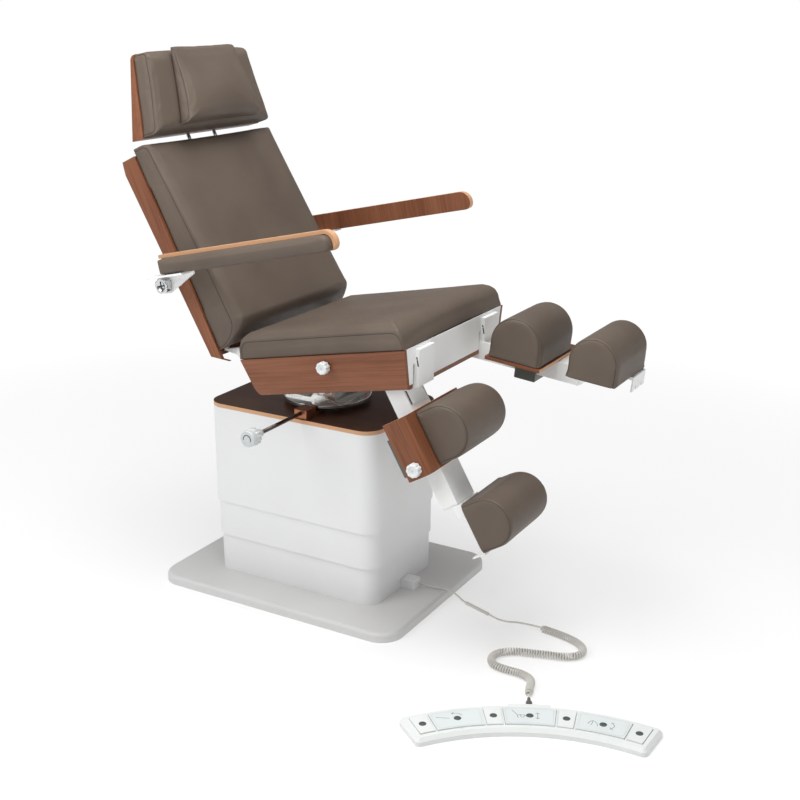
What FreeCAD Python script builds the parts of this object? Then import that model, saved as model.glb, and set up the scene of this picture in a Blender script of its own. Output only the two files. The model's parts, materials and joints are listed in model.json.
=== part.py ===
import FreeCAD, Part
import math
import os
import re
import Sketcher

# Podiatry chair on a telescopic lifting box, lengths in millimetres and angles in degrees.
# The frame has +X toward the patient's feet, +Y to the patient's left and +Z up.
# The origin is the centre of the base plate's underside.

PLATE_SIZES = {
    "plate_length": 853, "plate_width": 642, "plate_thick": 29, "plate_corner": 70, "plate_edge": 11,
}
COVER_SIZES = {
    "cover_length": 601, "cover_width": 401, "cover_corner": 58, "cover_wall": 5.2, "cover_gap": 0.3,
    "cover_upper_floor": 265, "cover_upper_tall": 310, "cover_middle_floor": 150,
    "cover_middle_tall": 290, "cover_lower_tall": 280, "lid_thick": 12,
}
COLUMN_SIZES = {
    "column_place": 15, "column_length": 180, "column_width": 140, "column_wall": 6, "column_gap": 0.3,
    "column_foot_tall": 301, "column_middle_floor": 151, "column_middle_tall": 300,
    "column_head_tall": 305, "flange_reach": 36, "flange_thick": 8,
    "motor_diameter": 90, "motor_tall": 190, "gearbox_side": 112, "gearbox_tall": 60, "gearbox_round": 8,
}
SWIVEL_SIZES = {
    "ring_diameter": 196, "ring_tall": 10, "stub_diameter": 60, "turntable_diameter": 270,
    "turntable_thick": 14, "turntable_gap": 2, "turntable_edge": 3, "fit_gap": 0.05,
    "lock_place": 45, "lock_block_length": 44, "lock_block_width": 54, "lock_block_tall": 27,
    "lock_block_reach": 195, "lock_tongue_tall": 9, "lock_tongue_reach": 34,
    "lock_block_edge": 4, "lock_rod_diameter": 12, "lock_bore_share": 0.4, "lock_rod_rise": 16,
    "lock_rod_reach": 388, "lock_knob_diameter": 52, "lock_knob_long": 38, "lock_neck_diameter": 22,
    "lock_neck_long": 27, "lock_knob_edge": 5, "lid_neck_diameter": 120, "head_plate_thick": 8,
}
SEAT_SIZES = {
    "hinge_place": 380, "hinge_height": 788, "seat_tilt": 10.9,
    "tilt_place": 60, "tilt_height": 650, "tilt_pin_diameter": 24, "tilt_hub_radius": 18,
    "hub_crown_share": 0.6, "hub_toe_share": 0.7, "hub_root_share": 2,
    "tilt_plate_length": 190, "tilt_plate_thick": 8, "tilt_cheek_thick": 12, "tilt_cheek_apart": 160,
    "tilt_cheek_long": 96, "tilt_lug_thick": 12, "tilt_lug_gap": 0.5, "carrier_length": 250,
    "carrier_thick": 6, "seat_floor": -40, "seat_rim": 74, "seat_half": 300, "seat_half_floor": 278,
    "seat_wall": 12, "seat_fold": 16, "seat_rear_floor": -429, "seat_rear_bevel": -442,
    "seat_bevel_rise": 24, "seat_rear_rim": -460, "seat_front_floor": 69, "seat_front_rim": 93,
    "seat_cushion_gap": 0.3, "seat_cushion_tall": 64, "seat_crown": 11, "seat_cushion_round": 30,
    "seat_cushion_front_round": 44, "cushion_pull": 4, "front_panel_thick": 3, "touch_gap": 0.3,
    "frame_tube": 40, "frame_tube_tall": 30, "frame_apart": 205, "frame_front": -62,
    "frame_rear": -425, "hinge_arm_thick": 8, "hinge_arm_half": 262, "hinge_hub_radius": 14,
    "hinge_arm_wide": 26, "hinge_arm_bend": 25, "hub_flat_share": 0.4, "hub_side_share": 0.9,
    "recline_back": -484, "recline_rise": 90, "recline_pin_diameter": 14,
    "seat_knob_place": -171, "seat_knob_rise": 41, "seat_knob_diameter": 36, "seat_knob_long": 22,
    "seat_knob_shaft": 12, "seat_knob_edge": 5, "seat_knob_shaft_long": 30,
}
BACK_SIZES = {
    "back_lean": 24.6, "back_half": 305, "back_wall": 12, "back_rear_floor": -74, "back_rear_start": 18,
    "back_rear_top": -122, "back_rear_high": 593, "back_bevel": 7, "back_high": 630,
    "back_toe": -16, "back_toe_drop": -13, "back_side_floor": -40, "back_side_top": -65,
    "back_front": 20, "back_cushion_floor": 24, "back_cushion_top": 651, "back_crown": 11,
    "back_cushion_round": 28, "back_cushion_nose": 46,
    "bar_wide": 18, "bar_thick": 15, "bar_half": 252, "bar_front": -43, "bar_low": 30, "bar_high": 560,
    "bar_lean": -23, "cross_bar_inset": 3.75, "cross_bar_tall": 36, "cross_bar_place": 528,
    "cross_bar_front": -38, "cross_bar_back": -81, "cross_bar_half": 90,
    "lug_thick": 10, "lug_high": 96, "lug_neck": 22,
}
HEAD_SIZES = {
    "head_up": 668, "head_forward": -20, "head_nod": 9.5, "head_half_floor": 278, "head_half_top": 232,
    "head_tall": 236, "head_floor": -3, "head_rear_floor": -54, "head_rear_top": -20, "head_split": -12,
    "head_front": 46, "head_crown": 8, "head_round": 24, "head_side_round": 20,
    "pillow_low": 14, "pillow_high": 238, "pillow_half_low": 168, "pillow_half_high": 156,
    "pillow_thick": 48, "pillow_crown": 10, "pillow_round": 30,
    "pin_diameter": 12, "pin_half": 62, "pin_forward": -48, "pin_low": 430, "pin_high": 712,
    "pin_hole_gap": 1.5, "pin_run_out": 12,
}
ARM_SIZES = {
    "arm_place": -292, "arm_height": 983, "arm_rise": 12.4, "arm_board_start": 20,
    "arm_board_end": 622, "arm_floor": 32, "arm_top": 88, "arm_board_half": 370, "arm_board_thick": 10,
    "arm_lip": 20, "arm_end_round": 34, "arm_pad_half": 414,
    "arm_pad_round": 12, "arm_pad_inset": 4,
    "arm_bracket_half": 355, "arm_bracket_thick": 6, "arm_bracket_long": 108, "arm_bracket_drop": 25,
    "arm_bracket_back": 20, "arm_tab_half": 410, "arm_nose_round": 20, "arm_knob_shaft": 10,
    "arm_knob_shaft_long": 30, "arm_shaft_diameter": 16, "arm_knob_diameter": 48, "arm_knob_long": 24,
    "arm_knob_edge": 4, "arm_shaft_bite": 12, "arm_sleeve_diameter": 30,
}
LEG_SIZES = {
    "leg_right_angle": -60, "leg_left_angle": -6, "rail_centre": 198, "rail_width": 100,
    "rail_over": 20, "rail_under": 35, "rail_start": 104, "rail_end": 398, "rail_wall": 3,
    "fork_thick": 6, "fork_gap": 1, "fork_back": 30, "fork_round": 22, "rail_corner": 6,
    "bracket_rear": -24, "bracket_rear_top": 30, "bracket_mid": 20, "bracket_mid_top": 40,
    "bracket_fore": 60, "leg_pin_diameter": 20, "leg_notch_back": -36,
    "leg_notch_gap": 2, "leg_notch_rise": 25, "leg_notch_top": -22, "bracket_front_floor": 82,
    "bracket_front_top": 104, "bracket_top": 65, "bracket_edge": 4,
    "calf_start": 122, "calf_long": 160, "calf_inner": 12, "calf_outer": 260, "calf_straight": 50,
    "pad_edge": 7, "shell_start": 117, "shell_long": 170, "shell_gap": 0.3,
    "shell_thick": 10, "shell_outer": 322, "shell_drop": 42, "shell_round": 24,
    "carriage_start": 160, "carriage_long": 66, "carriage_drop": 24, "carriage_gap": 0.3,
    "carriage_cheek": 8, "carriage_block_long": 112, "carriage_edge": 5,
    "calf_knob_place": 259, "calf_knob_rise": -3, "calf_knob_diameter": 40, "calf_knob_long": 22,
    "calf_knob_shaft": 12, "calf_knob_edge": 4, "calf_left_out": 42,
    "foot_start": 403, "foot_long": 147, "foot_straight": 56, "bar_inner_start": 236,
    "bar_play": 0.3, "foot_plate_thick": 9, "foot_step_long": 40, "foot_step_drop": 20,
    "foot_flange_thick": 4, "foot_flange_drop": 44, "foot_flange_notch": 14, "foot_plate_over": 9,
    "notch_low_share": 0.2, "notch_high_share": 0.66, "foot_lift": 2,
}
CONTROL_SIZES = {
    "control_x": 931, "control_y": -477, "control_turn": 25.6, "control_radius": 646,
    "control_wide": 118, "control_span": 57, "control_tall": 21,
    "control_slope": 9, "control_end_round": 14, "key_wide": 76, "rocker_span": 11.6, "key_span": 3.8,
    "button_pitch": 8.25, "button_well": 12, "button_gap": 0.7, "button_gap_span": 0.124,
    "button_thick": 8, "button_proud": 3.5, "rocker_pin_diameter": 5, "rocker_pin_bite": 6,
    "rocker_pin_drop": 2, "hood_span": 9, "hood_reach": 8,
    "inlet_diameter": 17, "inlet_long": 14, "inlet_rise": 11.6, "relief_diameter": 9, "relief_long": 20,
    "socket_length": 48, "socket_width": 46, "socket_tall": 27, "socket_round": 10, "socket_side": -3,
    "coupler_diameter": 10, "coupler_edge": 2, "cord_diameter": 5, "curl_diameter": 23,
    "curl_count": 96, "curl_ramp": 20,
}
GROUPS = (PLATE_SIZES, COVER_SIZES, COLUMN_SIZES, SWIVEL_SIZES, SEAT_SIZES, BACK_SIZES, HEAD_SIZES,
          ARM_SIZES, LEG_SIZES, CONTROL_SIZES)

doc = FreeCAD.newDocument("podiatry_chair")
sheet = doc.addObject("Spreadsheet::Sheet", "Sizes")


class Sizes:
    """The sheet's values by name, for places that are worked out in this file."""


size = Sizes()
cell_names = set()
for group in GROUPS:
    for name, value in group.items():
        row = len(cell_names) + 1
        cell_names.add(name)
        sheet.set("A%d" % row, name)
        sheet.set("B%d" % row, repr(value))
        sheet.setAlias("B%d" % row, name)
        setattr(size, name, value)
doc.recompute()

nodes = {}


def linked(text):
    """An expression whose size names point into the sheet."""
    return re.sub(r"[a-z_]+", lambda m: "Sizes." + m.group() if m.group() in cell_names else m.group(),
                  str(text))


def number(text):
    """The value of such an expression."""
    return float(sheet.evalExpression(linked(text)))


def frame(x, y, z, turn=0.0, axis=(0, 1, 0)):
    """A placement from a point and a turn about one axis."""
    return FreeCAD.Placement(FreeCAD.Vector(x, y, z), FreeCAD.Rotation(FreeCAD.Vector(*axis), turn))


WORLD = frame(0, 0, 0)
SEAT = frame(size.hinge_place, 0, size.hinge_height, -size.seat_tilt)
PLANES = {"top": "XY_Plane", "side": "XZ_Plane", "front": "YZ_Plane"}
NORMAL_SIGN = {"top": 1, "side": -1, "front": 1}


def start_body(label, place=WORLD):
    body = doc.addObject("PartDesign::Body", label)
    body.Label = label
    body.Placement = place
    nodes[label] = body
    return body


def new_sketch(owner, plane, at="0"):
    sketch = owner.newObject("Sketcher::SketchObject", "Outline")
    role = PLANES[plane]
    origin_plane = [f for f in owner.Origin.OriginFeatures if f.Role == role][0]
    sketch.AttachmentSupport = [(origin_plane, "")]
    sketch.MapMode = "FlatFace"
    if str(at) != "0":
        sign = "-" if NORMAL_SIGN[plane] < 0 else ""
        sketch.setExpression(".AttachmentOffset.Base.z", "%s(%s)" % (sign, linked(at)))
    return sketch


def draw_polygon(sketch, points):
    """A closed outline tied to the sheet; a third value bows the side that starts there outward."""
    values = [(number(point[0]), number(point[1])) for point in points]
    count = len(points)
    first = sketch.GeometryCount
    starts = []
    ends = []
    bowed = []
    for i, point in enumerate(points):
        here = FreeCAD.Vector(values[i][0], values[i][1], 0)
        there = FreeCAD.Vector(values[(i + 1) % count][0], values[(i + 1) % count][1], 0)
        if len(point) < 3:
            sketch.addGeometry(Part.LineSegment(here, there), False)
            starts.append(1)
            ends.append(2)
            continue
        rise = number(point[2])
        chord = there - here
        outward = FreeCAD.Vector(chord.y, -chord.x, 0) / chord.Length
        middle = (here + there) / 2 + outward * rise
        arc = Part.Arc(here, middle, there) if rise > 0 else Part.Arc(there, middle, here)
        index = sketch.addGeometry(arc, False)
        starts.append(1 if rise > 0 else 2)
        ends.append(2 if rise > 0 else 1)
        bowed.append((i, index))
    for i in range(count):
        after = (i + 1) % count
        join_up = Sketcher.Constraint("Coincident", first + i, ends[i], first + after, starts[after])
        sketch.addConstraint(join_up)
    for i in range(count):
        for k, kind in ((0, "DistanceX"), (1, "DistanceY")):
            place = Sketcher.Constraint(kind, -1, 1, first + i, starts[i], values[i][k])
            index = sketch.addConstraint(place)
            sketch.setExpression("Constraints[%d]" % index, linked(points[i][k]))
    for i, index in bowed:
        here, there, rise = points[i], points[(i + 1) % count], points[i][2]
        chord = "sqrt(((%s) - (%s))^2 + ((%s) - (%s))^2)" % (there[0], here[0], there[1], here[1])
        radius = "abs(((%s)^2 / 4 + (%s)^2) / (2 * (%s)))" % (chord, rise, rise)
        row = sketch.addConstraint(Sketcher.Constraint("Radius", index, number(radius)))
        sketch.setExpression("Constraints[%d]" % row, linked(radius))


def draw_circle(sketch, x, y, diameter):
    middle = FreeCAD.Vector(number(x), number(y), 0)
    circle = Part.Circle(middle, FreeCAD.Vector(0, 0, 1), number(diameter) / 2)
    index = sketch.addGeometry(circle, False)
    for k, kind in ((x, "DistanceX"), (y, "DistanceY")):
        row = sketch.addConstraint(Sketcher.Constraint(kind, -1, 1, index, 3, number(k)))
        sketch.setExpression("Constraints[%d]" % row, linked(k))
    row = sketch.addConstraint(Sketcher.Constraint("Diameter", index, number(diameter)))
    sketch.setExpression("Constraints[%d]" % row, linked(diameter))


def add_pad(body, plane, points, length, at="0", circle=None):
    """Material of the given length, half of it on each side of the place along the plane's normal."""
    sketch = new_sketch(body, plane, at)
    if circle:
        draw_circle(sketch, *circle)
    else:
        draw_polygon(sketch, points)
    pad = body.newObject("PartDesign::Pad", "Pad")
    pad.Profile = sketch
    pad.SideType = "Symmetric"
    pad.setExpression("Length", linked(length))
    doc.recompute()
    return pad


def add_cut(body, plane, points, length, at="0", circle=None):
    """The same for a pocket, checked to have removed something."""
    before = body.Shape.Volume
    sketch = new_sketch(body, plane, at)
    if circle:
        draw_circle(sketch, *circle)
    else:
        draw_polygon(sketch, points)
    cut = body.newObject("PartDesign::Pocket", "Pocket")
    cut.Profile = sketch
    cut.SideType = "Symmetric"
    cut.setExpression("Length", linked(length))
    doc.recompute()
    if not body.Shape.Volume < before:
        raise ValueError("a cut in %s removed nothing" % body.Label)
    return cut


def local_edges(feature, chosen):
    """Names of a feature's edges whose middle and direction pass a test."""
    names = []
    for i, edge in enumerate(feature.Shape.Edges):
        low, high = edge.ParameterRange
        middle = edge.valueAt((low + high) / 2)
        along = edge.tangentAt((low + high) / 2)
        if chosen(middle, along):
            names.append("Edge%d" % (i + 1))
    return names


def add_round(body, radius, chosen, kind="PartDesign::Fillet"):
    base = body.Tip
    names = local_edges(base, chosen)
    if not names:
        raise ValueError("no edge to round in %s" % body.Label)
    rounding = body.newObject(kind, "Round")
    rounding.Base = (base, names)
    rounding.setExpression("Radius" if kind.endswith("Fillet") else "Size", linked(radius))
    doc.recompute()
    return rounding


def along_axis(axis):
    """A test for straight edges that run along one axis, 0, 1 or 2."""
    return lambda middle, along: abs(abs(along[axis]) - 1) < 1e-6


def rectangle(x0, x1, y0, y1):
    return [(x0, y0), (x1, y0), (x1, y1), (x0, y1)]


def centred(length, width, x="0", y="0"):
    return rectangle("%s - (%s) / 2" % (x, length), "%s + (%s) / 2" % (x, length),
                     "%s - (%s) / 2" % (y, width), "%s + (%s) / 2" % (y, width))


def tapered(half_low, half_high, low, high):
    """An outline with one half width at the bottom and another at the top."""
    return [("-" + half_low, low), (half_low, low), (half_high, high), ("-" + half_high, high)]


def middle_of(low, high):
    return "((%s) + (%s)) / 2" % (low, high)


def span_of(low, high):
    return "(%s) - (%s)" % (high, low)


def block(label, place, x0, x1, y0, y1, z0, z1):
    """A plain rectangular body between six named limits."""
    body = start_body(label, place)
    add_pad(body, "top", rectangle(x0, x1, y0, y1), span_of(z0, z1), middle_of(z0, z1))
    return body


def add_block(body, x0, x1, y0, y1, z0, z1):
    return add_pad(body, "top", rectangle(x0, x1, y0, y1), span_of(z0, z1), middle_of(z0, z1))


def cut_block(body, x0, x1, y0, y1, z0, z1):
    return add_cut(body, "top", rectangle(x0, x1, y0, y1), span_of(z0, z1), middle_of(z0, z1))


def near(value, target, slack=0.01):
    return abs(value - target) < slack


# Base plate: a rounded slab with a soft upper edge

def make_base_plate():
    body = start_body("base_plate")
    add_pad(body, "top", centred("plate_length", "plate_width"), "plate_thick", "plate_thick / 2")
    add_round(body, "plate_corner", along_axis(2))
    top = size.plate_thick
    add_round(body, "plate_edge", lambda middle, along: near(middle.z, top))


# Telescopic covers: three rounded sleeves, each stepped in below the one above

def make_cover(label, floor, tall, steps):
    body = start_body(label)
    inset = "2 * %d * (cover_wall + cover_gap)" % steps
    outer = centred("cover_length - " + inset, "cover_width - " + inset)
    middle = "%s + (%s) / 2" % (floor, tall)
    add_pad(body, "top", outer, tall, middle)
    add_round(body, "cover_corner - %d * (cover_wall + cover_gap)" % steps, along_axis(2))
    hollow = start_body(label + "_hollow")
    del nodes[label + "_hollow"]
    thin = "%s - 2 * cover_wall" % inset
    inner = centred("cover_length - " + thin, "cover_width - " + thin)
    add_pad(hollow, "top", inner, "2 * (%s)" % tall, middle)
    add_round(hollow, "cover_corner - %d * (cover_wall + cover_gap) - cover_wall" % steps, along_axis(2))
    cut = doc.addObject("Part::Cut", label + "_sleeve")
    cut.Base = body
    cut.Tool = hollow
    nodes[label] = cut


# Lid: the walnut board that closes the upper cover

def make_lid():
    body = start_body("lid_board")
    floor = "cover_upper_floor + cover_upper_tall"
    add_pad(body, "top", centred("cover_length", "cover_width"), "lid_thick", floor + " + lid_thick / 2")
    add_round(body, "cover_corner", along_axis(2))
    add_cut(body, "top", None, "2 * lid_thick", floor + " + lid_thick / 2",
            circle=("column_place", "0", "lid_neck_diameter + 2 * touch_gap"))


# Lifting column: three square tubes, one inside the next, and the drive beside them

def make_column_tube(label, floor, tall, steps):
    body = start_body(label)
    inset = "2 * %d * (column_wall + column_gap)" % steps
    place = "column_place"
    middle = "%s + (%s) / 2" % (floor, tall)
    add_pad(body, "top", centred("column_length - " + inset, "column_width - " + inset, place), tall, middle)
    if label == "column_foot":
        flange = centred("column_length + 2 * flange_reach", "column_width + 2 * flange_reach", place)
        add_pad(body, "top", flange, "flange_thick", "%s + flange_thick / 2" % floor)
    inner = centred("column_length - %s - 2 * column_wall" % inset,
                    "column_width - %s - 2 * column_wall" % inset, place)
    add_cut(body, "top", inner, "2 * (%s)" % tall, middle)


def make_lift_motor():
    body = start_body("lift_motor")
    side = "gearbox_side"
    place = "(column_place - column_length / 2 - flange_reach - gearbox_side / 2 - touch_gap)"
    add_pad(body, "top", centred(side, side, place), "gearbox_tall", "plate_thick + gearbox_tall / 2")
    add_round(body, "gearbox_round", along_axis(2))
    add_pad(body, "top", None, "motor_tall", "plate_thick + gearbox_tall + motor_tall / 2",
            circle=(place, "0", "motor_diameter"))


# Swivel: a stainless ring on the lid, a turntable that turns on its stub and a clamp that locks it

LID_TOP = "cover_upper_floor + cover_upper_tall + lid_thick"
TABLE_FLOOR = LID_TOP + " + ring_tall + turntable_gap"
TABLE_TOP = TABLE_FLOOR + " + turntable_thick"


def make_column_head():
    make_column_tube("column_head", "cover_upper_floor + cover_upper_tall - column_head_tall",
                     "column_head_tall", 2)
    body = nodes["column_head"]
    top = "cover_upper_floor + cover_upper_tall"
    inset = "4 * (column_wall + column_gap)"
    add_pad(body, "top", centred("column_length - " + inset, "column_width - " + inset, "column_place"),
            "head_plate_thick", top + " - head_plate_thick / 2")
    neck = "head_plate_thick / 2 + lid_thick + ring_tall / 2"
    add_pad(body, "top", None, neck, "%s - head_plate_thick / 2 + (%s) / 2" % (top, neck),
            circle=("column_place", "0", "lid_neck_diameter"))
    add_pad(body, "top", None, "ring_tall", LID_TOP + " + ring_tall / 2",
            circle=("column_place", "0", "ring_diameter"))
    stub_tall = "ring_tall + turntable_gap + turntable_thick / 2"
    add_pad(body, "top", None, stub_tall, "%s + (%s) / 2" % (LID_TOP, stub_tall),
            circle=("column_place", "0", "stub_diameter"))


def make_turntable():
    body = start_body("turntable")
    add_pad(body, "top", None, "turntable_thick", TABLE_FLOOR + " + turntable_thick / 2",
            circle=("column_place", "0", "turntable_diameter"))
    rim = size.turntable_diameter / 2
    add_round(body, "turntable_edge",
              lambda middle, along: near(math.hypot(middle.x - size.column_place, middle.y), rim)
              and near(along.z, 0))
    well = "turntable_thick / 2 + turntable_gap / 2"
    add_cut(body, "top", None, well, "%s + (%s) / 2" % (TABLE_FLOOR, well),
            circle=("column_place", "0", "stub_diameter + 2 * fit_gap"))


def make_lock_block():
    body = start_body("lock_block")
    x0 = "lock_place - lock_block_length / 2"
    x1 = "lock_place + lock_block_length / 2"
    add_block(body, x0, x1, "-lock_block_reach", "-lock_block_reach + lock_block_width",
              LID_TOP, LID_TOP + " + lock_block_tall")
    add_round(body, "lock_block_edge", along_axis(2))
    add_block(body, x0, x1, "-lock_block_reach + lock_block_width - 2 * lock_block_edge",
              "-lock_block_reach + lock_block_width + lock_tongue_reach - touch_gap",
              LID_TOP, LID_TOP + " + lock_tongue_tall")
    add_cut(body, "side", None, "lock_block_width", "-lock_block_reach + lock_block_width * lock_bore_share",
            circle=("lock_place", LID_TOP + " + lock_rod_rise", "lock_rod_diameter + 2 * fit_gap"))


def make_lock_lever():
    body = start_body("lock_lever")
    centre = ("lock_place", LID_TOP + " + lock_rod_rise")
    start = "-lock_block_reach + lock_block_width * lock_bore_share"
    end = "-lock_rod_reach"
    add_pad(body, "side", None, span_of(end, start), middle_of(end, start),
            circle=centre + ("lock_rod_diameter",))
    neck_end = "%s - lock_neck_long" % end
    add_pad(body, "side", None, "lock_neck_long", middle_of(neck_end, end),
            circle=centre + ("lock_neck_diameter",))
    knob_end = "%s - lock_knob_long" % neck_end
    add_pad(body, "side", None, "lock_knob_long", middle_of(knob_end, neck_end),
            circle=centre + ("lock_knob_diameter",))
    limit = number(neck_end) + size.touch_gap
    add_round(body, "lock_knob_edge", lambda middle, along: middle.y < limit and near(along.y, 0))


# Tilt bearing: two cheeks on the turntable hold a pin, and the carrier's lugs turn on it

def add_tilt_bracket():
    body = nodes["turntable"]
    floor = TABLE_TOP
    half = "tilt_cheek_apart / 2 + tilt_cheek_thick"
    add_block(body, "column_place - tilt_plate_length / 2", "column_place + tilt_plate_length / 2",
              "-(%s)" % half, half, floor + " - turntable_thick / 4", floor + " + tilt_plate_thick")
    cheek = [("tilt_place - tilt_cheek_long / 2", floor + " + tilt_plate_thick / 2"),
             ("tilt_place + tilt_cheek_long / 2", floor + " + tilt_plate_thick / 2"),
             ("tilt_place + tilt_hub_radius", "tilt_height + tilt_hub_radius * hub_crown_share"),
             ("tilt_place + tilt_hub_radius * hub_crown_share", "tilt_height + tilt_hub_radius"),
             ("tilt_place - tilt_hub_radius * hub_crown_share", "tilt_height + tilt_hub_radius"),
             ("tilt_place - tilt_hub_radius", "tilt_height + tilt_hub_radius * hub_crown_share")]
    for side in ("-", ""):
        place = "%s(tilt_cheek_apart + tilt_cheek_thick) / 2" % side
        add_pad(body, "side", cheek, "tilt_cheek_thick", place)
    pin_long = "tilt_cheek_apart + 4 * tilt_cheek_thick"
    add_pad(body, "side", None, pin_long, "0", circle=("tilt_place", "tilt_height", "tilt_pin_diameter"))


def make_seat_carrier():
    body = start_body("seat_carrier", SEAT)
    top = "seat_floor - touch_gap"
    half = "tilt_cheek_apart / 2 + tilt_cheek_thick + tilt_lug_gap + tilt_lug_thick"
    px = "((tilt_place - hinge_place) * cos(seat_tilt) + (tilt_height - hinge_height) * sin(seat_tilt))"
    pz = "((tilt_height - hinge_height) * cos(seat_tilt) - (tilt_place - hinge_place) * sin(seat_tilt))"
    add_block(body, px + " - carrier_length / 2", px + " + carrier_length / 2", "-(%s)" % half, half,
              top + " - carrier_thick", top)
    lug = [(px + " - tilt_hub_radius * hub_toe_share", pz + " - tilt_hub_radius * hub_toe_share"),
           (px + " + tilt_hub_radius * hub_toe_share", pz + " - tilt_hub_radius * hub_toe_share"),
           (px + " + tilt_hub_radius", pz),
           (px + " + tilt_hub_radius * hub_root_share", top + " - carrier_thick / 2"),
           (px + " - tilt_hub_radius * hub_root_share", top + " - carrier_thick / 2"),
           (px + " - tilt_hub_radius", pz)]
    reach = "tilt_cheek_apart / 2 + tilt_cheek_thick + tilt_lug_gap + tilt_lug_thick / 2"
    for side in ("-", ""):
        add_pad(body, "side", lug, "tilt_lug_thick", "%s(%s)" % (side, reach))
    add_cut(body, "side", None, "4 * (%s)" % half, "0", circle=(px, pz, "tilt_pin_diameter + 2 * fit_gap"))


# Shapes made by crossing two or three outlines, each as long as it needs to be

def cross(label, place, outlines):
    """The common part of straight pads: each outline is (plane, points, length, at, corner rounds)."""
    made = []
    for plane, points, length, at, rounds in outlines:
        body = start_body("%s_outline_%d" % (label, len(made)), place)
        del nodes[body.Label]
        add_pad(body, plane, points, length, at)
        axis = {"top": 2, "side": 1, "front": 0}[plane]
        for radius, chosen in rounds:
            add_round(body, radius, lambda m, a: abs(abs(a[axis]) - 1) < 1e-6 and chosen(m))
        made.append(body)
    common = doc.addObject("Part::MultiCommon", label)
    common.Shapes = made
    nodes[label] = common
    return common


def cut_away(label, tools):
    """Takes solids out of a finished node."""
    whole = nodes[label]
    for i, tool in enumerate(tools):
        cut = doc.addObject("Part::Cut", "%s_cut_%d" % (label, i))
        cut.Base = whole
        cut.Tool = tool
        whole = cut
    nodes[label] = whole
    return whole


def tool_block(label, place, *limits):
    body = block(label, place, *limits)
    del nodes[label]
    return body


def tool_rod(label, place, plane, x, y, diameter, length, at="0"):
    body = start_body(label, place)
    del nodes[label]
    add_pad(body, plane, None, length, at, circle=(x, y, diameter))
    return body


# Seat: a bent walnut tray with a steel frame inside, a white front panel and a crowned cushion

def front_edge(height):
    """How far forward the tray's leaning front edge is at a height."""
    share = "((%s) - seat_floor) / (seat_rim - seat_floor)" % height
    return "(seat_front_floor + (seat_front_rim - seat_front_floor) * %s)" % share


def flare(height):
    """Half the tray's outer width at a height."""
    share = "((%s) - seat_floor) / (seat_rim - seat_floor)" % height
    return "(seat_half_floor + (seat_half - seat_half_floor) * %s)" % share


def corner_at(*places):
    """A test for edges whose middle lies at one of these pairs of places, along two axes."""
    wanted = [(first, number(a), second, number(b)) for first, a, second, b in places]
    return lambda m: any(near(m[i], a, 0.05) and near(m[j], b, 0.05) for i, a, j, b in wanted)


LEG_SIDES = {"right": -1, "left": 1}


def leg_notch(label, side, x0, x1, z0, z1):
    reach = "rail_width / 2 + leg_notch_gap"
    low, high = "rail_centre - (%s)" % reach, "rail_centre + " + reach
    if LEG_SIDES[side] < 0:
        low, high = "-(%s)" % high, "-(%s)" % low
    return tool_block("%s_%s" % (label, side), SEAT, x0, x1, low, high, z0, z1)


def make_seat_tray():
    inner = "seat_floor + seat_wall"
    shell = [("-seat_half", "seat_rim"), ("-seat_half_floor", "seat_floor"),
             ("seat_half_floor", "seat_floor"), ("seat_half", "seat_rim"),
             ("seat_half - seat_wall", "seat_rim"), ("%s - seat_wall" % flare(inner), inner),
             ("-(%s - seat_wall)" % flare(inner), inner), ("-(seat_half - seat_wall)", "seat_rim")]
    side = [("seat_rear_floor", "seat_floor"), ("seat_front_floor", "seat_floor"),
            ("seat_front_rim", "seat_rim"), ("seat_rear_rim", "seat_rim"),
            ("seat_rear_bevel", "seat_floor + seat_bevel_rise")]
    folds = corner_at((1, "-seat_half_floor", 2, "seat_floor"), (1, "seat_half_floor", 2, "seat_floor"))
    long = "4 * seat_half"
    cross("seat_tray", SEAT, [("front", shell, long, "0", [("seat_fold", folds)]),
                              ("side", side, long, "0", [])])
    tools = [leg_notch("tray_notch", side, "leg_notch_back", "2 * seat_front_rim", "2 * seat_floor",
                       "leg_notch_top") for side in LEG_SIDES]
    tools.append(tool_rod("tray_knob_hole", SEAT, "side", "seat_knob_place", "seat_knob_rise",
                          "seat_knob_shaft + 2 * fit_gap", long))
    cut_away("seat_tray", tools)


def join(label, parts):
    """Fuses finished solids into one node."""
    whole = doc.addObject("Part::MultiFuse", label)
    whole.Shapes = parts
    whole.Refine = True
    nodes[label] = whole
    return whole


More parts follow.
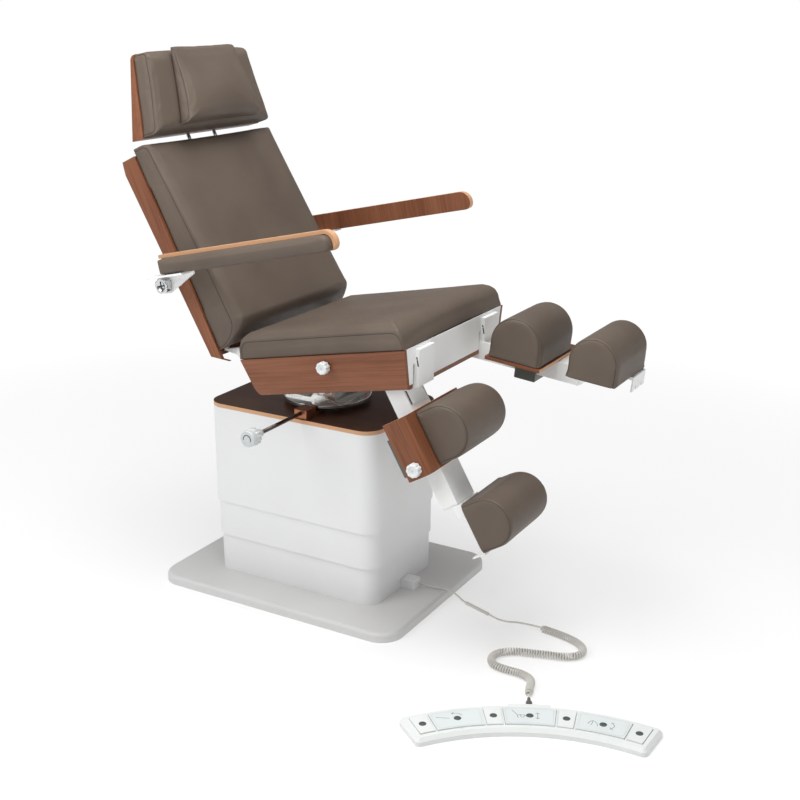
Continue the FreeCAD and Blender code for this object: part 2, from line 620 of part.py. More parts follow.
def make_leg_mount():
    low = "seat_floor + seat_wall + touch_gap"
    thick = "front_panel_thick"
    strip = [("%s - touch_gap - %s" % (front_edge(low), thick), low),
             ("%s - touch_gap" % front_edge(low), low),
             ("%s - touch_gap" % front_edge("seat_rim"), "seat_rim"),
             ("%s - touch_gap - %s" % (front_edge("seat_rim"), thick), "seat_rim")]
    low_half = "(%s - seat_wall - touch_gap)" % flare(low)
    top_half = "(seat_half - seat_wall - touch_gap)"
    face = tapered(low_half, top_half, low, "seat_rim")
    cross("front_panel", SEAT, [("side", strip, "4 * seat_half", "0", []),
                                ("front", face, "4 * seat_half", "0", [])])
    cut_away("front_panel", [leg_notch("panel_notch", side, "0", "2 * seat_front_rim", "2 * seat_floor",
                                       "leg_notch_rise") for side in LEG_SIDES])
    step = "leg_notch_back + leg_notch_gap"
    outline = [("frame_front + touch_gap", low), (step, low), (step, "seat_floor"),
               ("bracket_front_floor", "seat_floor"), ("bracket_front_top", "bracket_top"),
               ("bracket_fore", "bracket_top"), ("bracket_mid", "bracket_mid_top"),
               ("bracket_rear", "bracket_rear_top"), ("frame_front + touch_gap", low + " + frame_tube_tall")]
    parts = [nodes.pop("front_panel")]
    for side, sign in LEG_SIDES.items():
        body = start_body("leg_bracket_" + side, SEAT)
        del nodes[body.Label]
        place = "%d * rail_centre" % sign
        add_pad(body, "side", outline, "rail_width - 2 * fork_thick - 2 * fork_gap", place)
        add_round(body, "bracket_edge", lambda m, a: near(m.x, size.bracket_front_top) and near(a.x, 0))
        add_pad(body, "side", None, "rail_width", place, circle=("0", "0", "leg_pin_diameter"))
        parts.append(body)
    join("leg_mount", parts)


def make_seat_cushion():
    floor = "seat_rim + seat_cushion_gap"
    top = "(seat_rim + seat_cushion_gap + seat_cushion_tall)"
    rear = "seat_rear_rim"
    front = "seat_front_rim - touch_gap"
    side = [(rear, floor), (front, floor), (front, top, "seat_crown"), (rear, top)]
    across = [("-seat_half", floor), ("seat_half", floor), ("seat_half", top, "seat_crown"),
              ("-seat_half", top)]
    plan = [(rear, "-seat_half", "-cushion_pull"), (front, "-seat_half", "-cushion_pull"),
            (front, "seat_half", "-cushion_pull"), (rear, "seat_half", "-cushion_pull")]
    nose = corner_at((0, front, 2, top))
    tail = corner_at((0, rear, 2, top))
    sides = corner_at((1, "-seat_half", 2, top), (1, "seat_half", 2, top))
    cross("seat_cushion", SEAT, [
        ("side", side, "4 * seat_half", "0", [("seat_cushion_front_round", nose),
                                              ("seat_cushion_round", tail)]),
        ("front", across, "4 * seat_half", "0", [("seat_cushion_round", sides)]),
        ("top", plan, "4 * seat_half", "0", [])])


def make_seat_frame():
    body = start_body("seat_frame", SEAT)
    low = "seat_floor + seat_wall + touch_gap"
    high = low + " + frame_tube_tall"
    out = "frame_apart + frame_tube / 2"
    add_block(body, "frame_rear", "frame_rear + frame_tube", "-hinge_arm_half", "hinge_arm_half", low, high)
    add_block(body, "frame_front - frame_tube", "frame_front", "-(%s)" % out, out, low, high)
    for side in ("-", ""):
        y0, y1 = "%s(frame_apart - frame_tube / 2)" % side, "%s(%s)" % (side, out)
        if side:
            y0, y1 = y1, y0
        add_block(body, "frame_rear + frame_tube / 2", "frame_front - frame_tube / 2", y0, y1, low, high)
    flat, wide = "hinge_hub_radius * hub_flat_share", "hinge_hub_radius * hub_side_share"
    arm = [("recline_back - " + flat, "recline_rise + " + wide),
           ("recline_back - " + wide, "recline_rise - " + flat),
           ("seat_rear_bevel - hinge_arm_wide / 2", "hinge_arm_bend"),
           ("frame_rear", low), ("frame_rear + frame_tube", low), ("frame_rear + frame_tube", high),
           ("seat_rear_bevel + hinge_arm_wide / 2", "seat_rim - touch_gap"),
           ("recline_back + hinge_hub_radius", "seat_rim - touch_gap"),
           ("recline_back + hinge_hub_radius", "recline_rise + " + flat),
           ("recline_back + " + flat, "recline_rise + " + wide)]
    for side in ("-", ""):
        add_pad(body, "side", arm, "hinge_arm_thick", "%shinge_arm_half" % side)
        add_pad(body, "side", None, "lug_thick + 2 * fork_gap + hinge_arm_thick",
                "%s(hinge_arm_half - (lug_thick + 2 * fork_gap) / 2)" % side,
                circle=("recline_back", "recline_rise", "recline_pin_diameter"))


def make_seat_knob(side):
    face = "(%s + touch_gap)" % flare("seat_knob_rise + seat_knob_diameter / 2")
    make_knob("seat_knob_" + side, SEAT, side, face, "seat_knob_long", "seat_knob_diameter",
              "seat_knob_edge", "seat_knob_shaft", "seat_knob_shaft_long",
              ("seat_knob_place", "seat_knob_rise"))


# Backrest: a walnut shell with side walls, a steel frame, and a crowned cushion

def world_of(place, x, z):
    """The world X and Z of a point given in a tilted frame."""
    point = place.multVec(FreeCAD.Vector(x, 0, z))
    return point.x, point.z


RECLINE_X, RECLINE_Z = world_of(SEAT, size.recline_back, size.recline_rise)
BACK = frame(RECLINE_X, 0, RECLINE_Z, -size.back_lean)
ARM = frame(size.arm_place, 0, size.arm_height, -size.arm_rise)
HEAD_X, HEAD_Z = world_of(BACK, size.head_forward, size.head_up)
HEAD = frame(HEAD_X, 0, HEAD_Z, -(size.back_lean - size.head_nod))


def back_edge(height):
    """Where the shell's side walls end toward the front, at a height up the back."""
    return "(back_side_floor + (back_side_top - back_side_floor) * (%s) / back_high)" % height


def make_back_shell():
    side = [("back_toe", "back_toe_drop"), (back_edge("0"), "0"), ("back_side_top", "back_high"),
            ("back_rear_top + back_bevel", "back_high"), ("back_rear_top", "back_rear_high"),
            ("back_rear_floor", "back_rear_start")]
    inside = [("2 * back_front", "4 * back_rear_floor"), ("2 * back_front", "back_high - back_wall"),
              ("back_rear_top + back_wall + back_bevel", "back_high - back_wall"),
              ("back_rear_top + back_wall", "back_rear_high"),
              ("back_rear_floor + back_wall", "back_rear_start"),
              ("back_rear_floor + back_wall", "4 * back_rear_floor")]
    body = start_body("back_shell", BACK)
    add_pad(body, "side", side, "2 * back_half")
    add_cut(body, "side", inside, "2 * (back_half - back_wall)")
    cut_away("back_shell", [tool_rod("shell_arm_hole", ARM, "side", "0", "0",
                                     "arm_shaft_diameter + 2 * fit_gap", "4 * back_half")])


def bar_face(height):
    """The front face of the frame's slanted side bars, at a height up the back."""
    return "(bar_front + bar_lean * (%s) / back_high)" % height


def make_back_frame():
    body = start_body("back_frame", BACK)
    low, high = "bar_low", "bar_high"
    bar = [("%s - bar_thick" % bar_face(low), low), (bar_face(low), low),
           (bar_face(high), high), ("%s - bar_thick" % bar_face(high), high)]
    flat, wide = "hinge_hub_radius * hub_flat_share", "hinge_hub_radius * hub_side_share"
    lug = [("-" + flat, "-" + wide), (flat, "-" + wide), (wide, "-" + flat), (wide, flat), (flat, wide),
           (bar_face(low), "lug_neck"), (bar_face("lug_high"), "lug_high"),
           ("%s - bar_thick" % bar_face("lug_high"), "lug_high"),
           ("%s - bar_thick" % bar_face(low), "lug_neck")]
    for sign in ("-", ""):
        add_pad(body, "side", bar, "bar_wide", sign + "bar_half")
        add_pad(body, "side", lug, "lug_thick", sign + "bar_half")
    outer = "bar_half + bar_wide / 2"
    floor, top = "cross_bar_place - cross_bar_tall / 2", "cross_bar_place + cross_bar_tall / 2"
    add_block(body, "cross_bar_back", "%s - cross_bar_inset" % bar_face("cross_bar_place"), "-(%s)" % outer,
              outer, floor, top)
    add_block(body, "cross_bar_back", "cross_bar_front", "-cross_bar_half", "cross_bar_half", floor, top)
    for sign in ("-", ""):
        add_cut(body, "top", None, "2 * cross_bar_tall", "cross_bar_place",
                circle=("pin_forward", sign + "pin_half", "pin_diameter + 2 * fit_gap"))
    add_cut(body, "side", None, "2 * back_half", "0",
            circle=("0", "0", "recline_pin_diameter + 2 * fit_gap"))


def make_back_cushion():
    low, high = "back_cushion_floor", "back_cushion_top"
    side = [(back_edge(low) + " + touch_gap", low), ("back_front", low, "back_crown"),
            ("back_front", high), (back_edge(high) + " + touch_gap", high)]
    rear = back_edge(high) + " - back_crown"
    plan = [(rear, "-back_half"), ("back_front", "-back_half", "back_crown"),
            ("back_front", "back_half"), (rear, "back_half")]
    face = [("-back_half", low, "-cushion_pull"), ("back_half", low, "-2 * cushion_pull"),
            ("back_half", high, "-cushion_pull"), ("-back_half", high, "-2 * cushion_pull")]
    long = "4 * back_half"
    cross("back_cushion", BACK, [
        ("side", side, long, "0", [("back_cushion_nose", corner_at((0, "back_front", 2, low))),
                                   ("back_cushion_round", corner_at((0, "back_front", 2, high)))]),
        ("top", plan, long, middle_of(low, high),
         [("back_cushion_round", corner_at((0, "back_front", 1, "-back_half"),
                                           (0, "back_front", 1, "back_half")))]),
        ("front", face, long, "0", [])])
    reach = "cross_bar_half + touch_gap"
    tools = [tool_block("cushion_pocket", BACK, "2 * cross_bar_back", "cross_bar_front + touch_gap",
                        "-(%s)" % reach, reach, "cross_bar_place - cross_bar_tall / 2 - touch_gap",
                        "cross_bar_place + cross_bar_tall / 2 + touch_gap")]
    for sign in ("-", ""):
        tools.append(tool_rod("cushion_pin_hole", BACK, "top", "pin_forward", sign + "pin_half",
                              "pin_diameter + 2 * pin_hole_gap", "2 * back_cushion_top",
                              "back_cushion_top + pin_low - pin_run_out"))
    cut_away("back_cushion", tools)


# Headrest: two steel pins in the back frame carry a tapered walnut board, its cushion and a pillow

def make_head_pins():
    group = []
    for sign in ("-", ""):
        pin = start_body("head_pin_%d" % len(group), BACK)
        del nodes[pin.Label]
        add_pad(pin, "top", None, "pin_high - pin_low", middle_of("pin_low", "pin_high"),
                circle=("pin_forward", sign + "pin_half", "pin_diameter"))
        group.append(pin)
    gathered = doc.addObject("Part::Compound", "head_pins")
    gathered.Links = group
    nodes["head_pins"] = gathered


def make_head_shell():
    side = [("head_rear_floor", "head_floor"), ("head_split", "head_floor"), ("head_split", "head_tall"),
            ("head_rear_top", "head_tall")]
    face = tapered("head_half_floor", "head_half_top", "head_floor", "head_tall")
    top_corners = corner_at((1, "-head_half_top", 2, "head_tall"), (1, "head_half_top", 2, "head_tall"))
    long = "4 * head_half_floor"
    cross("head_shell", HEAD, [("side", side, long, "0", []),
                               ("front", face, long, "0", [("head_side_round", top_corners)])])
    cut_away("head_shell", [tool_rod("head_pin_bore", BACK, "top", "pin_forward", sign + "pin_half",
                                     "pin_diameter + 2 * fit_gap",
                                     "2 * (pin_high + fit_gap - head_up)", "head_up")
                            for sign in ("-", "")])


def make_head_cushion():
    rear, low, high = "head_split + touch_gap", "head_floor", "head_tall"
    side = [(rear, low), ("head_front", low, "head_crown"), ("head_front", high), (rear, high)]
    plan = [(rear, "-head_half_floor"), ("head_front", "-head_half_floor", "head_crown"),
            ("head_front", "head_half_floor"), (rear, "head_half_floor")]
    face = tapered("head_half_floor", "head_half_top", low, high)
    face[1] = face[1] + ("-cushion_pull",)
    face[3] = face[3] + ("-cushion_pull",)
    long = "4 * head_half_floor"
    fronts = corner_at((0, "head_front", 2, low), (0, "head_front", 2, high))
    top_corners = corner_at((1, "-head_half_top", 2, high), (1, "head_half_top", 2, high))
    edges = corner_at((0, "head_front", 1, "-head_half_floor"), (0, "head_front", 1, "head_half_floor"))
    cross("head_cushion", HEAD, [
        ("side", side, long, "0", [("head_round", fronts)]),
        ("top", plan, long, "0", [("head_round", edges)]),
        ("front", face, long, "0", [("head_side_round", top_corners)])])


def make_head_pillow():
    rear = "(head_front + head_crown + touch_gap)"
    front = "(head_front + head_crown + touch_gap + pillow_thick)"
    low, high = "pillow_low", "pillow_high"
    side = [(rear, low), (front, low, "pillow_crown"), (front, high), (rear, high)]
    plan = [(rear, "-pillow_half_low"), (front, "-pillow_half_low", "pillow_crown"),
            (front, "pillow_half_low"), (rear, "pillow_half_low")]
    face = tapered("pillow_half_low", "pillow_half_high", low, high)
    face = [point + ("-cushion_pull",) for point in face]
    long = "4 * head_half_floor"
    ends = corner_at((0, front, 2, low), (0, front, 2, high))
    edges = corner_at((0, front, 1, "-pillow_half_low"), (0, front, 1, "pillow_half_low"))
    cross("head_pillow", HEAD, [("side", side, long, "0", [("pillow_round", ends)]),
                                ("top", plan, long, "0", [("pillow_round", edges)]),
                                ("front", face, long, "0", [])])


# Arms: a bent walnut board with a padded outer face on a white bracket that turns on the shell

def sided(side, inner, outer):
    """Lowest and highest place across the chair for a piece on one side of it."""
    if LEG_SIDES[side] < 0:
        return "-(%s)" % outer, "-(%s)" % inner
    return "(%s)" % inner, "(%s)" % outer


def at_side(side, inner, outer):
    low, high = sided(side, inner, outer)
    return middle_of(low, high)


def make_arm_board(side):
    body = start_body("arm_board_" + side, ARM)
    half, thick = "arm_board_half", "arm_board_thick"
    outer = half + " + arm_lip"
    outline = rectangle("arm_board_start", "arm_board_end", "arm_floor", "arm_top")
    add_pad(body, "side", outline, "arm_lip", at_side(side, half, outer))
    end = number("arm_board_end")
    add_round(body, "arm_end_round", lambda m, a: near(m.x, end) and near(m.z, size.arm_top) and near(a.x, 0)
              and near(a.z, 0))
    add_round(body, "arm_nose_round", lambda m, a: near(m.x, end) and near(m.z, size.arm_floor)
              and near(a.x, 0) and near(a.z, 0))
    hollow = start_body("arm_hollow_" + side, ARM)
    del nodes[hollow.Label]
    inside = rectangle("-arm_board_end", "arm_board_end - arm_board_thick", "-arm_floor",
                       "arm_top - arm_board_thick")
    add_pad(hollow, "side", inside, "arm_lip", at_side(side, half + " + " + thick, outer + " + " + thick))
    front = number("arm_board_end - arm_board_thick")
    add_round(hollow, "arm_end_round - arm_board_thick",
              lambda m, a: near(m.x, front) and m.z > 0 and near(abs(a.y), 1))
    cut_away("arm_board_" + side, [hollow])


def make_arm_pad(side):
    body = start_body("arm_pad_" + side, ARM)
    inner = "arm_board_half + arm_board_thick + touch_gap"
    outline = rectangle("arm_board_start + arm_pad_inset", "arm_board_end - arm_board_thick - touch_gap",
                        "arm_floor", "arm_top - arm_board_thick - touch_gap")
    add_pad(body, "side", outline, span_of(inner, "arm_pad_half"), at_side(side, inner, "arm_pad_half"))
    front = number("arm_board_end - arm_board_thick - touch_gap")
    add_round(body, "arm_end_round - arm_board_thick",
              lambda m, a: near(m.x, front) and m.z > size.arm_bracket_drop * 2 and near(abs(a.y), 1))
    add_round(body, "arm_nose_round - arm_pad_inset",
              lambda m, a: near(m.x, front) and m.z < size.arm_bracket_drop * 2 and near(abs(a.y), 1))
    add_round(body, "arm_pad_round", lambda m, a: near(abs(m.y), size.arm_pad_half))


def make_arm_bracket(side):
    body = start_body("arm_bracket_" + side, ARM)
    half = "arm_bracket_half"
    plate = [("-arm_bracket_back", "-arm_bracket_drop / 2"), ("-arm_bracket_back / 2", "-arm_bracket_drop"),
             ("arm_bracket_back / 2", "-arm_bracket_drop"),
             ("arm_bracket_long", "arm_floor - 2 * arm_bracket_thick"),
             ("arm_bracket_long", "arm_floor - touch_gap"), ("-arm_bracket_back", "arm_floor - touch_gap")]
    outer = half + " + arm_bracket_thick"
    add_pad(body, "side", plate, "arm_bracket_thick", at_side(side, half, outer))
    low, high = sided(side, half, "arm_tab_half")
    add_block(body, "-arm_bracket_back", "arm_bracket_long", low, high,
              "arm_floor - touch_gap - arm_bracket_thick", "arm_floor - touch_gap")
    sleeve = "back_half + touch_gap"
    add_pad(body, "side", None, "arm_bracket_half + arm_bracket_thick / 2 - (%s)" % sleeve,
            at_side(side, sleeve, half + " + arm_bracket_thick / 2"),
            circle=("0", "0", "arm_sleeve_diameter"))
    bite = "back_half - arm_shaft_bite"
    add_pad(body, "side", None, "2 * arm_shaft_bite", at_side(side, bite, bite + " + 2 * arm_shaft_bite"),
            circle=("0", "0", "arm_shaft_diameter"))
    bore = outer + " - arm_knob_shaft_long"
    add_cut(body, "side", None, "2 * arm_knob_shaft_long",
            at_side(side, bore, bore + " + 2 * arm_knob_shaft_long"),
            circle=("0", "0", "arm_knob_shaft + 2 * fit_gap"))


def make_knob(label, place, side, face, long, diameter, edge, shaft, shaft_long, centre):
    """A round clamping knob outside a face, with its threaded shaft running inward."""
    body = start_body(label, place)
    root = "(%s) - (%s)" % (face, shaft_long)
    top = "(%s) + (%s)" % (face, long)
    add_pad(body, "side", None, span_of(root, face) + " + (%s)" % edge,
            at_side(side, root, "(%s) + (%s)" % (face, edge)), circle=centre + (shaft,))
    add_pad(body, "side", None, long, at_side(side, face, top), circle=centre + (diameter,))
    limit = number(top)
    add_round(body, edge, lambda m, a: near(abs(m.y), limit) and near(a.y, 0))


def make_arm_knob(side):
    face = "arm_bracket_half + arm_bracket_thick + touch_gap"
    make_knob("arm_knob_" + side, ARM, side, face, "arm_knob_long", "arm_knob_diameter", "arm_knob_edge",
               "arm_knob_shaft", "arm_knob_shaft_long", ("0", "0"))


# Legs: a hinged rail, a calf rest that slides along it and a foot rest that draws out of its end

LEG = {"right": frame(size.hinge_place, 0, size.hinge_height, -size.leg_right_angle),
       "left": frame(size.hinge_place, 0, size.hinge_height, -size.leg_left_angle)}
RAIL_IN = "rail_centre - rail_width / 2"
RAIL_OUT = "rail_centre + rail_width / 2"


def make_leg_rail(side):
    body = start_body("leg_rail_" + side, LEG[side])
    outline = rectangle("-fork_back", "rail_start + rail_corner", "-rail_under", "rail_over")
    add_pad(body, "side", outline, "rail_width", at_side(side, RAIL_IN, RAIL_OUT))
    back = number("-fork_back")
    add_round(body, "fork_round", lambda m, a: near(m.x, back) and near(abs(a.y), 1))
    low, high = sided(side, RAIL_IN + " + fork_thick", RAIL_OUT + " - fork_thick")
    cut_block(body, "-2 * fork_back", "rail_start", low, high, "-2 * rail_under", "2 * rail_over")
    low, high = sided(side, RAIL_IN, RAIL_OUT)
    add_block(body, "rail_start", "rail_end", low, high, "-rail_under", "rail_over")
    low, high = sided(side, RAIL_IN + " + rail_wall", RAIL_OUT + " - rail_wall")
    cut_block(body, "rail_start + rail_corner", "rail_end + rail_corner", low, high,
              "-rail_under + rail_wall", "rail_over - rail_wall")
    add_cut(body, "side", None, "2 * rail_width", at_side(side, RAIL_IN, RAIL_OUT),
            circle=("0", "0", "leg_pin_diameter + 2 * fit_gap"))


def make_foot_carrier(side):
    body = start_body("foot_carrier_" + side, LEG[side])
    play = "rail_wall + bar_play"
    low, high = sided(side, "%s + %s" % (RAIL_IN, play), "%s - (%s)" % (RAIL_OUT, play))
    step = "rail_end + rail_wall"
    add_block(body, "bar_inner_start", step + " + rail_wall", low, high, "-rail_under + " + play,
              "rail_over - (%s)" % play)
    top = "rail_over + foot_lift + foot_plate_thick"
    plate_end = "foot_start + foot_long + foot_plate_over - rail_wall"
    low, high = sided(side, RAIL_IN, RAIL_OUT)
    add_block(body, step, step + " + foot_step_long", low, high, "rail_over - foot_step_drop", top)
    add_block(body, step, plate_end, low, high, top + " - foot_plate_thick", top)
    add_block(body, plate_end + " - foot_flange_thick", plate_end, low, high,
              top + " - foot_flange_drop", top)
    for near_in in ("rail_width * notch_low_share", "rail_width * notch_high_share"):
        start = "%s + %s" % (RAIL_IN, near_in)
        low, high = sided(side, start, start + " + foot_flange_notch")
        cut_block(body, plate_end + " - 2 * foot_flange_thick", plate_end + " + foot_flange_thick",
                  low, high, top + " - 2 * foot_flange_drop",
                  top + " - foot_flange_drop + foot_flange_notch")


def make_roll_cushion(label, side, start, long, straight, floor):
    """A half-round roll: flat below, straight low sides and a round top, with eased ends."""
    body = start_body(label, LEG[side])
    radius = "(%s) / 2" % long
    rise = "(1 - sqrt(2) / 2) * " + radius
    end, middle = "%s + %s" % (start, long), "%s + %s" % (start, radius)
    shoulder, top = "%s + %s" % (floor, straight), "%s + %s + %s" % (floor, straight, radius)
    outline = [(start, floor), (end, floor), (end, shoulder, rise), (middle, top, rise), (start, shoulder)]
    add_pad(body, "side", outline, span_of("calf_inner", "calf_outer"),
            at_side(side, "calf_inner", "calf_outer"))
    lowest = number(floor)
    ends = (size.calf_inner, size.calf_outer)
    add_round(body, "pad_edge", lambda m, a: any(near(abs(m.y), end) for end in ends)
              and m.z > lowest + size.pad_edge)


def shifted(side, place):
    """Calf rest places, further out on the left leg, where the photo shows it drawn out."""
    return "(%s + calf_left_out)" % place if side == "left" else "(%s)" % place


SHELL_FLOOR = "rail_over + shell_gap"
FLANGE_IN = "shell_outer - shell_thick"


def make_calf_shell(side):
    body = start_body("calf_shell_" + side, LEG[side])
    x0 = shifted(side, "shell_start")
    low, high = sided(side, "calf_inner", "shell_outer")
    add_block(body, x0, x0 + " + shell_long", low, high, SHELL_FLOOR, SHELL_FLOOR + " + shell_thick")
    low, high = sided(side, FLANGE_IN, "shell_outer")
    add_block(body, x0, x0 + " + shell_long", low, high, "-shell_drop", SHELL_FLOOR + " + shell_thick")
    top = number(SHELL_FLOOR + " + shell_thick")
    add_round(body, "shell_round", lambda m, a: near(m.z, top) and near(abs(m.y), size.shell_outer)
              and near(abs(a.x), 1))
    floor, inner = number(SHELL_FLOOR), number(FLANGE_IN)
    add_round(body, "shell_round - shell_thick", lambda m, a: near(m.z, floor) and near(abs(m.y), inner)
              and near(abs(a.x), 1))
    add_cut(body, "side", None, "4 * shell_thick", at_side(side, FLANGE_IN, "shell_outer"),
            circle=(shifted(side, "calf_knob_place"), "calf_knob_rise", "calf_knob_shaft + 2 * fit_gap"))


def make_calf_carriage(side):
    body = start_body("calf_carriage_" + side, LEG[side])
    x0 = shifted(side, "carriage_start")
    floor = "-rail_under - carriage_gap - carriage_drop"
    inner_face = RAIL_IN + " - carriage_gap"
    outer_face = RAIL_OUT + " + carriage_gap"
    low, high = sided(side, inner_face + " - carriage_cheek", outer_face + " + carriage_cheek")
    add_block(body, x0, x0 + " + carriage_long", low, high, floor, "-rail_under - carriage_gap")
    top = SHELL_FLOOR + " - touch_gap"
    low, high = sided(side, inner_face + " - carriage_cheek", inner_face)
    add_block(body, x0, x0 + " + carriage_long", low, high, floor, top)
    low, high = sided(side, outer_face, FLANGE_IN + " - touch_gap")
    add_block(body, x0, x0 + " + carriage_block_long", low, high, floor, top)
    limit = number(top)
    far = number(FLANGE_IN + " - touch_gap")
    add_round(body, "shell_round - shell_thick + touch_gap",
              lambda m, a: near(m.z, limit) and near(abs(m.y), far) and near(abs(a.x), 1))
    lowest = number(floor)
    add_round(body, "carriage_edge", lambda m, a: near(m.z, lowest))
    root = FLANGE_IN + " - calf_knob_long"
    add_cut(body, "side", None, "2 * calf_knob_long", at_side(side, root, root + " + 2 * calf_knob_long"),
            circle=(shifted(side, "calf_knob_place"), "calf_knob_rise", "calf_knob_shaft + 2 * fit_gap"))


def make_calf_knob(side):
    make_knob("calf_knob_" + side, LEG[side], side, "shell_outer + touch_gap", "calf_knob_long",
              "calf_knob_diameter", "calf_knob_edge", "calf_knob_shaft", "shell_thick + calf_knob_long",
              (shifted(side, "calf_knob_place"), "calf_knob_rise"))


# Foot control: a low arc on the floor with three rockers and four keys

CONTROL_TURN = math.radians(size.control_turn)
CURVE_X = size.control_x + size.control_radius * math.sin(CONTROL_TURN)
CURVE_Y = size.control_y - size.control_radius * math.cos(CONTROL_TURN)


def control_frame(steps=0):
    """A frame at the arc's centre whose +Y points at a button, counted in button pitches."""
    return frame(CURVE_X, CURVE_Y, 0, size.control_turn - steps * size.button_pitch, (0, 0, 1))


def sector(inner, outer, span):
    """A piece of a ring, symmetric about the frame's +Y."""
    s, c = "sin(%s / 2)" % span, "cos(%s / 2)" % span
    return [("(%s) * %s" % (inner, s), "(%s) * %s" % (inner, c)),
            ("(%s) * %s" % (outer, s), "(%s) * %s" % (outer, c), "(%s) * (1 - %s)" % (outer, c)),
            ("-(%s) * %s" % (outer, s), "(%s) * %s" % (outer, c)),
            ("-(%s) * %s" % (inner, s), "(%s) * %s" % (inner, c), "-(%s) * (1 - %s)" % (inner, c))]


BUTTONS = {"rocker_left": (-2, "rocker_span"), "rocker_middle": (0, "rocker_span"),
           "rocker_right": (2, "rocker_span"), "key_one": (-3, "key_span"), "key_two": (-1, "key_span"),
           "key_three": (1, "key_span"), "key_four": (3, "key_span")}
KEY_IN = "(control_radius - key_wide / 2)"
KEY_OUT = "(control_radius + key_wide / 2)"


def make_control_housing():
    body = start_body("control_housing", control_frame())
    inner, outer = "control_radius - control_wide / 2", "control_radius + control_wide / 2"
    add_pad(body, "top", sector(inner, outer, "control_span"), "control_tall", "control_tall / 2")
    add_round(body, "control_end_round", along_axis(2))
    top = size.control_tall
    add_round(body, "control_slope", lambda m, a: near(m.z, top), "PartDesign::Chamfer")
    hood = sector("control_radius", outer + " + hood_reach", "hood_span")
    add_pad(body, "top", hood, "control_tall - control_slope / 2", "(control_tall - control_slope / 2) / 2")
    tools = []
    for label, (steps, span) in BUTTONS.items():
        well = start_body("well_" + label, control_frame(steps))
        del nodes[well.Label]
        gap_span = "(%s + button_gap_span)" % span
        add_pad(well, "top", sector(KEY_IN + " - button_gap", KEY_OUT + " + button_gap", gap_span),
                "2 * button_well", "control_tall")
        tools.append(well)
        if span == "rocker_span":
            long = "key_wide + 2 * rocker_pin_bite + 2 * button_gap"
            tools.append(tool_rod("bore_" + label, control_frame(steps), "side", "0", PIN_RISE,
                                  "rocker_pin_diameter + 2 * fit_gap", long, "control_radius"))
    cut_away("control_housing", tools)


PIN_RISE = "(control_tall + button_proud - button_thick / 2 - rocker_pin_drop)"


def make_button(label):
    steps, span = BUTTONS[label]
    body = start_body(label, control_frame(steps))
    top = "control_tall + button_proud"
    add_pad(body, "top", sector(KEY_IN, KEY_OUT, span), "button_thick", top + " - button_thick / 2")
    if span == "rocker_span":
        add_pad(body, "side", None, "key_wide + 2 * rocker_pin_bite", "control_radius",
                circle=("0", PIN_RISE, "rocker_pin_diameter"))


def make_cord_inlet():
    body = start_body("cord_inlet", control_frame())
    start = "control_radius + control_wide / 2 + hood_reach + touch_gap"
    add_pad(body, "side", None, "inlet_long", "%s + inlet_long / 2" % start,
            circle=("0", "inlet_rise", "inlet_diameter"))
    add_pad(body, "side", None, "relief_long + inlet_long / 2",
            "%s + inlet_long + relief_long / 2 - inlet_long / 4" % start,
            circle=("0", "inlet_rise", "relief_diameter"))


def make_cable_socket():
    body = start_body("cable_socket")
    wall = "cover_length / 2 - 2 * (cover_wall + cover_gap) + touch_gap"
    add_block(body, wall, wall + " + socket_length", "socket_side - socket_width / 2",
              "socket_side + socket_width / 2", "plate_thick", "plate_thick + socket_tall")
    far = number(wall + " + socket_length")
    add_round(body, "socket_round", lambda m, a: near(m.x, far) and near(abs(a.z), 1))


# Cord: a short lead from the socket, a coupler on the floor and a curly cord to the foot control

LEAD_ROUTE = [
    (338, 6, 41), (354, 6, 41), (374, 9, 39.5), (394, 15, 37), (414, 21, 35.5), (434, 26, 32.5),
    (450, 29.5, 25), (463, 31.5, 14.5), (476.9, 29.3, 7), (492, 24, 5.2),
]
CURLY_ROUTE = [
    (584, -8, 5.2), (600, -13.6, 5.2), (618, -18.5, 3.8), (640, -19.5, 3), (662, -14, 3), (680, -4, 3),
    (697, 2, 5), (716, 0, 9), (738, -9, 11.6), (767, -20, 11.6), (806, -24, 11.6), (850, -32, 11.6),
    (894, -49, 11.6), (919, -80, 11.6), (916, -114, 11.6), (883, -139, 11.6), (826, -154, 11.6),
    (790, -167, 11.6), (753, -177, 11.6), (712, -207, 11.6), (707, -249, 11.6), (731, -279, 11.6),
    (776, -283, 11.6), (815, -279, 11.6), (856, -295, 11.6), (868, -340, 11.6), (879.2, -368.8, 11.6),
    (887.2, -385.6, 11.6),
]
ARC_SHARE = 0.45
CURL_FIRST_RUN = 8
NUDGE_SHARE = 100
GAP_REACH = 80
SPOTS_PER_ARC = 3


def rounded_route(points):
    """Straight edges between the points, joined by tangent arcs as large as the runs allow."""
    spots = [FreeCAD.Vector(*p) for p in points]
    edges = []
    radii = []
    start = spots[0]
    for before, here, after in zip(spots, spots[1:], spots[2:]):
        back = before - here
        ahead = after - here
        turn = math.pi - back.getAngle(ahead)
        reach = ARC_SHARE * min(back.Length, ahead.Length)
        radii.append(reach / math.tan(turn / 2))
        enter = here + back.normalize() * reach
        leave = here + ahead.normalize() * reach
        middle = here + (enter + leave - here * 2).normalize() * radii[-1] * (1 / math.cos(turn / 2) - 1)
        edges.append(Part.LineSegment(start, enter).toShape())
        edges.append(Part.Arc(enter, middle, leave).toShape())
        start = leave
    edges.append(Part.LineSegment(start, spots[-1]).toShape())
    return edges, radii


def place_along(edges, distance):
    """Point and direction at a distance along a chain of edges."""
    for edge in edges[:-1]:
        if distance <= edge.Length:
            break
        distance -= edge.Length
    else:
        edge = edges[-1]
    place = edge.getParameterByLength(distance)
    return edge.valueAt(place), edge.tangentAt(place)


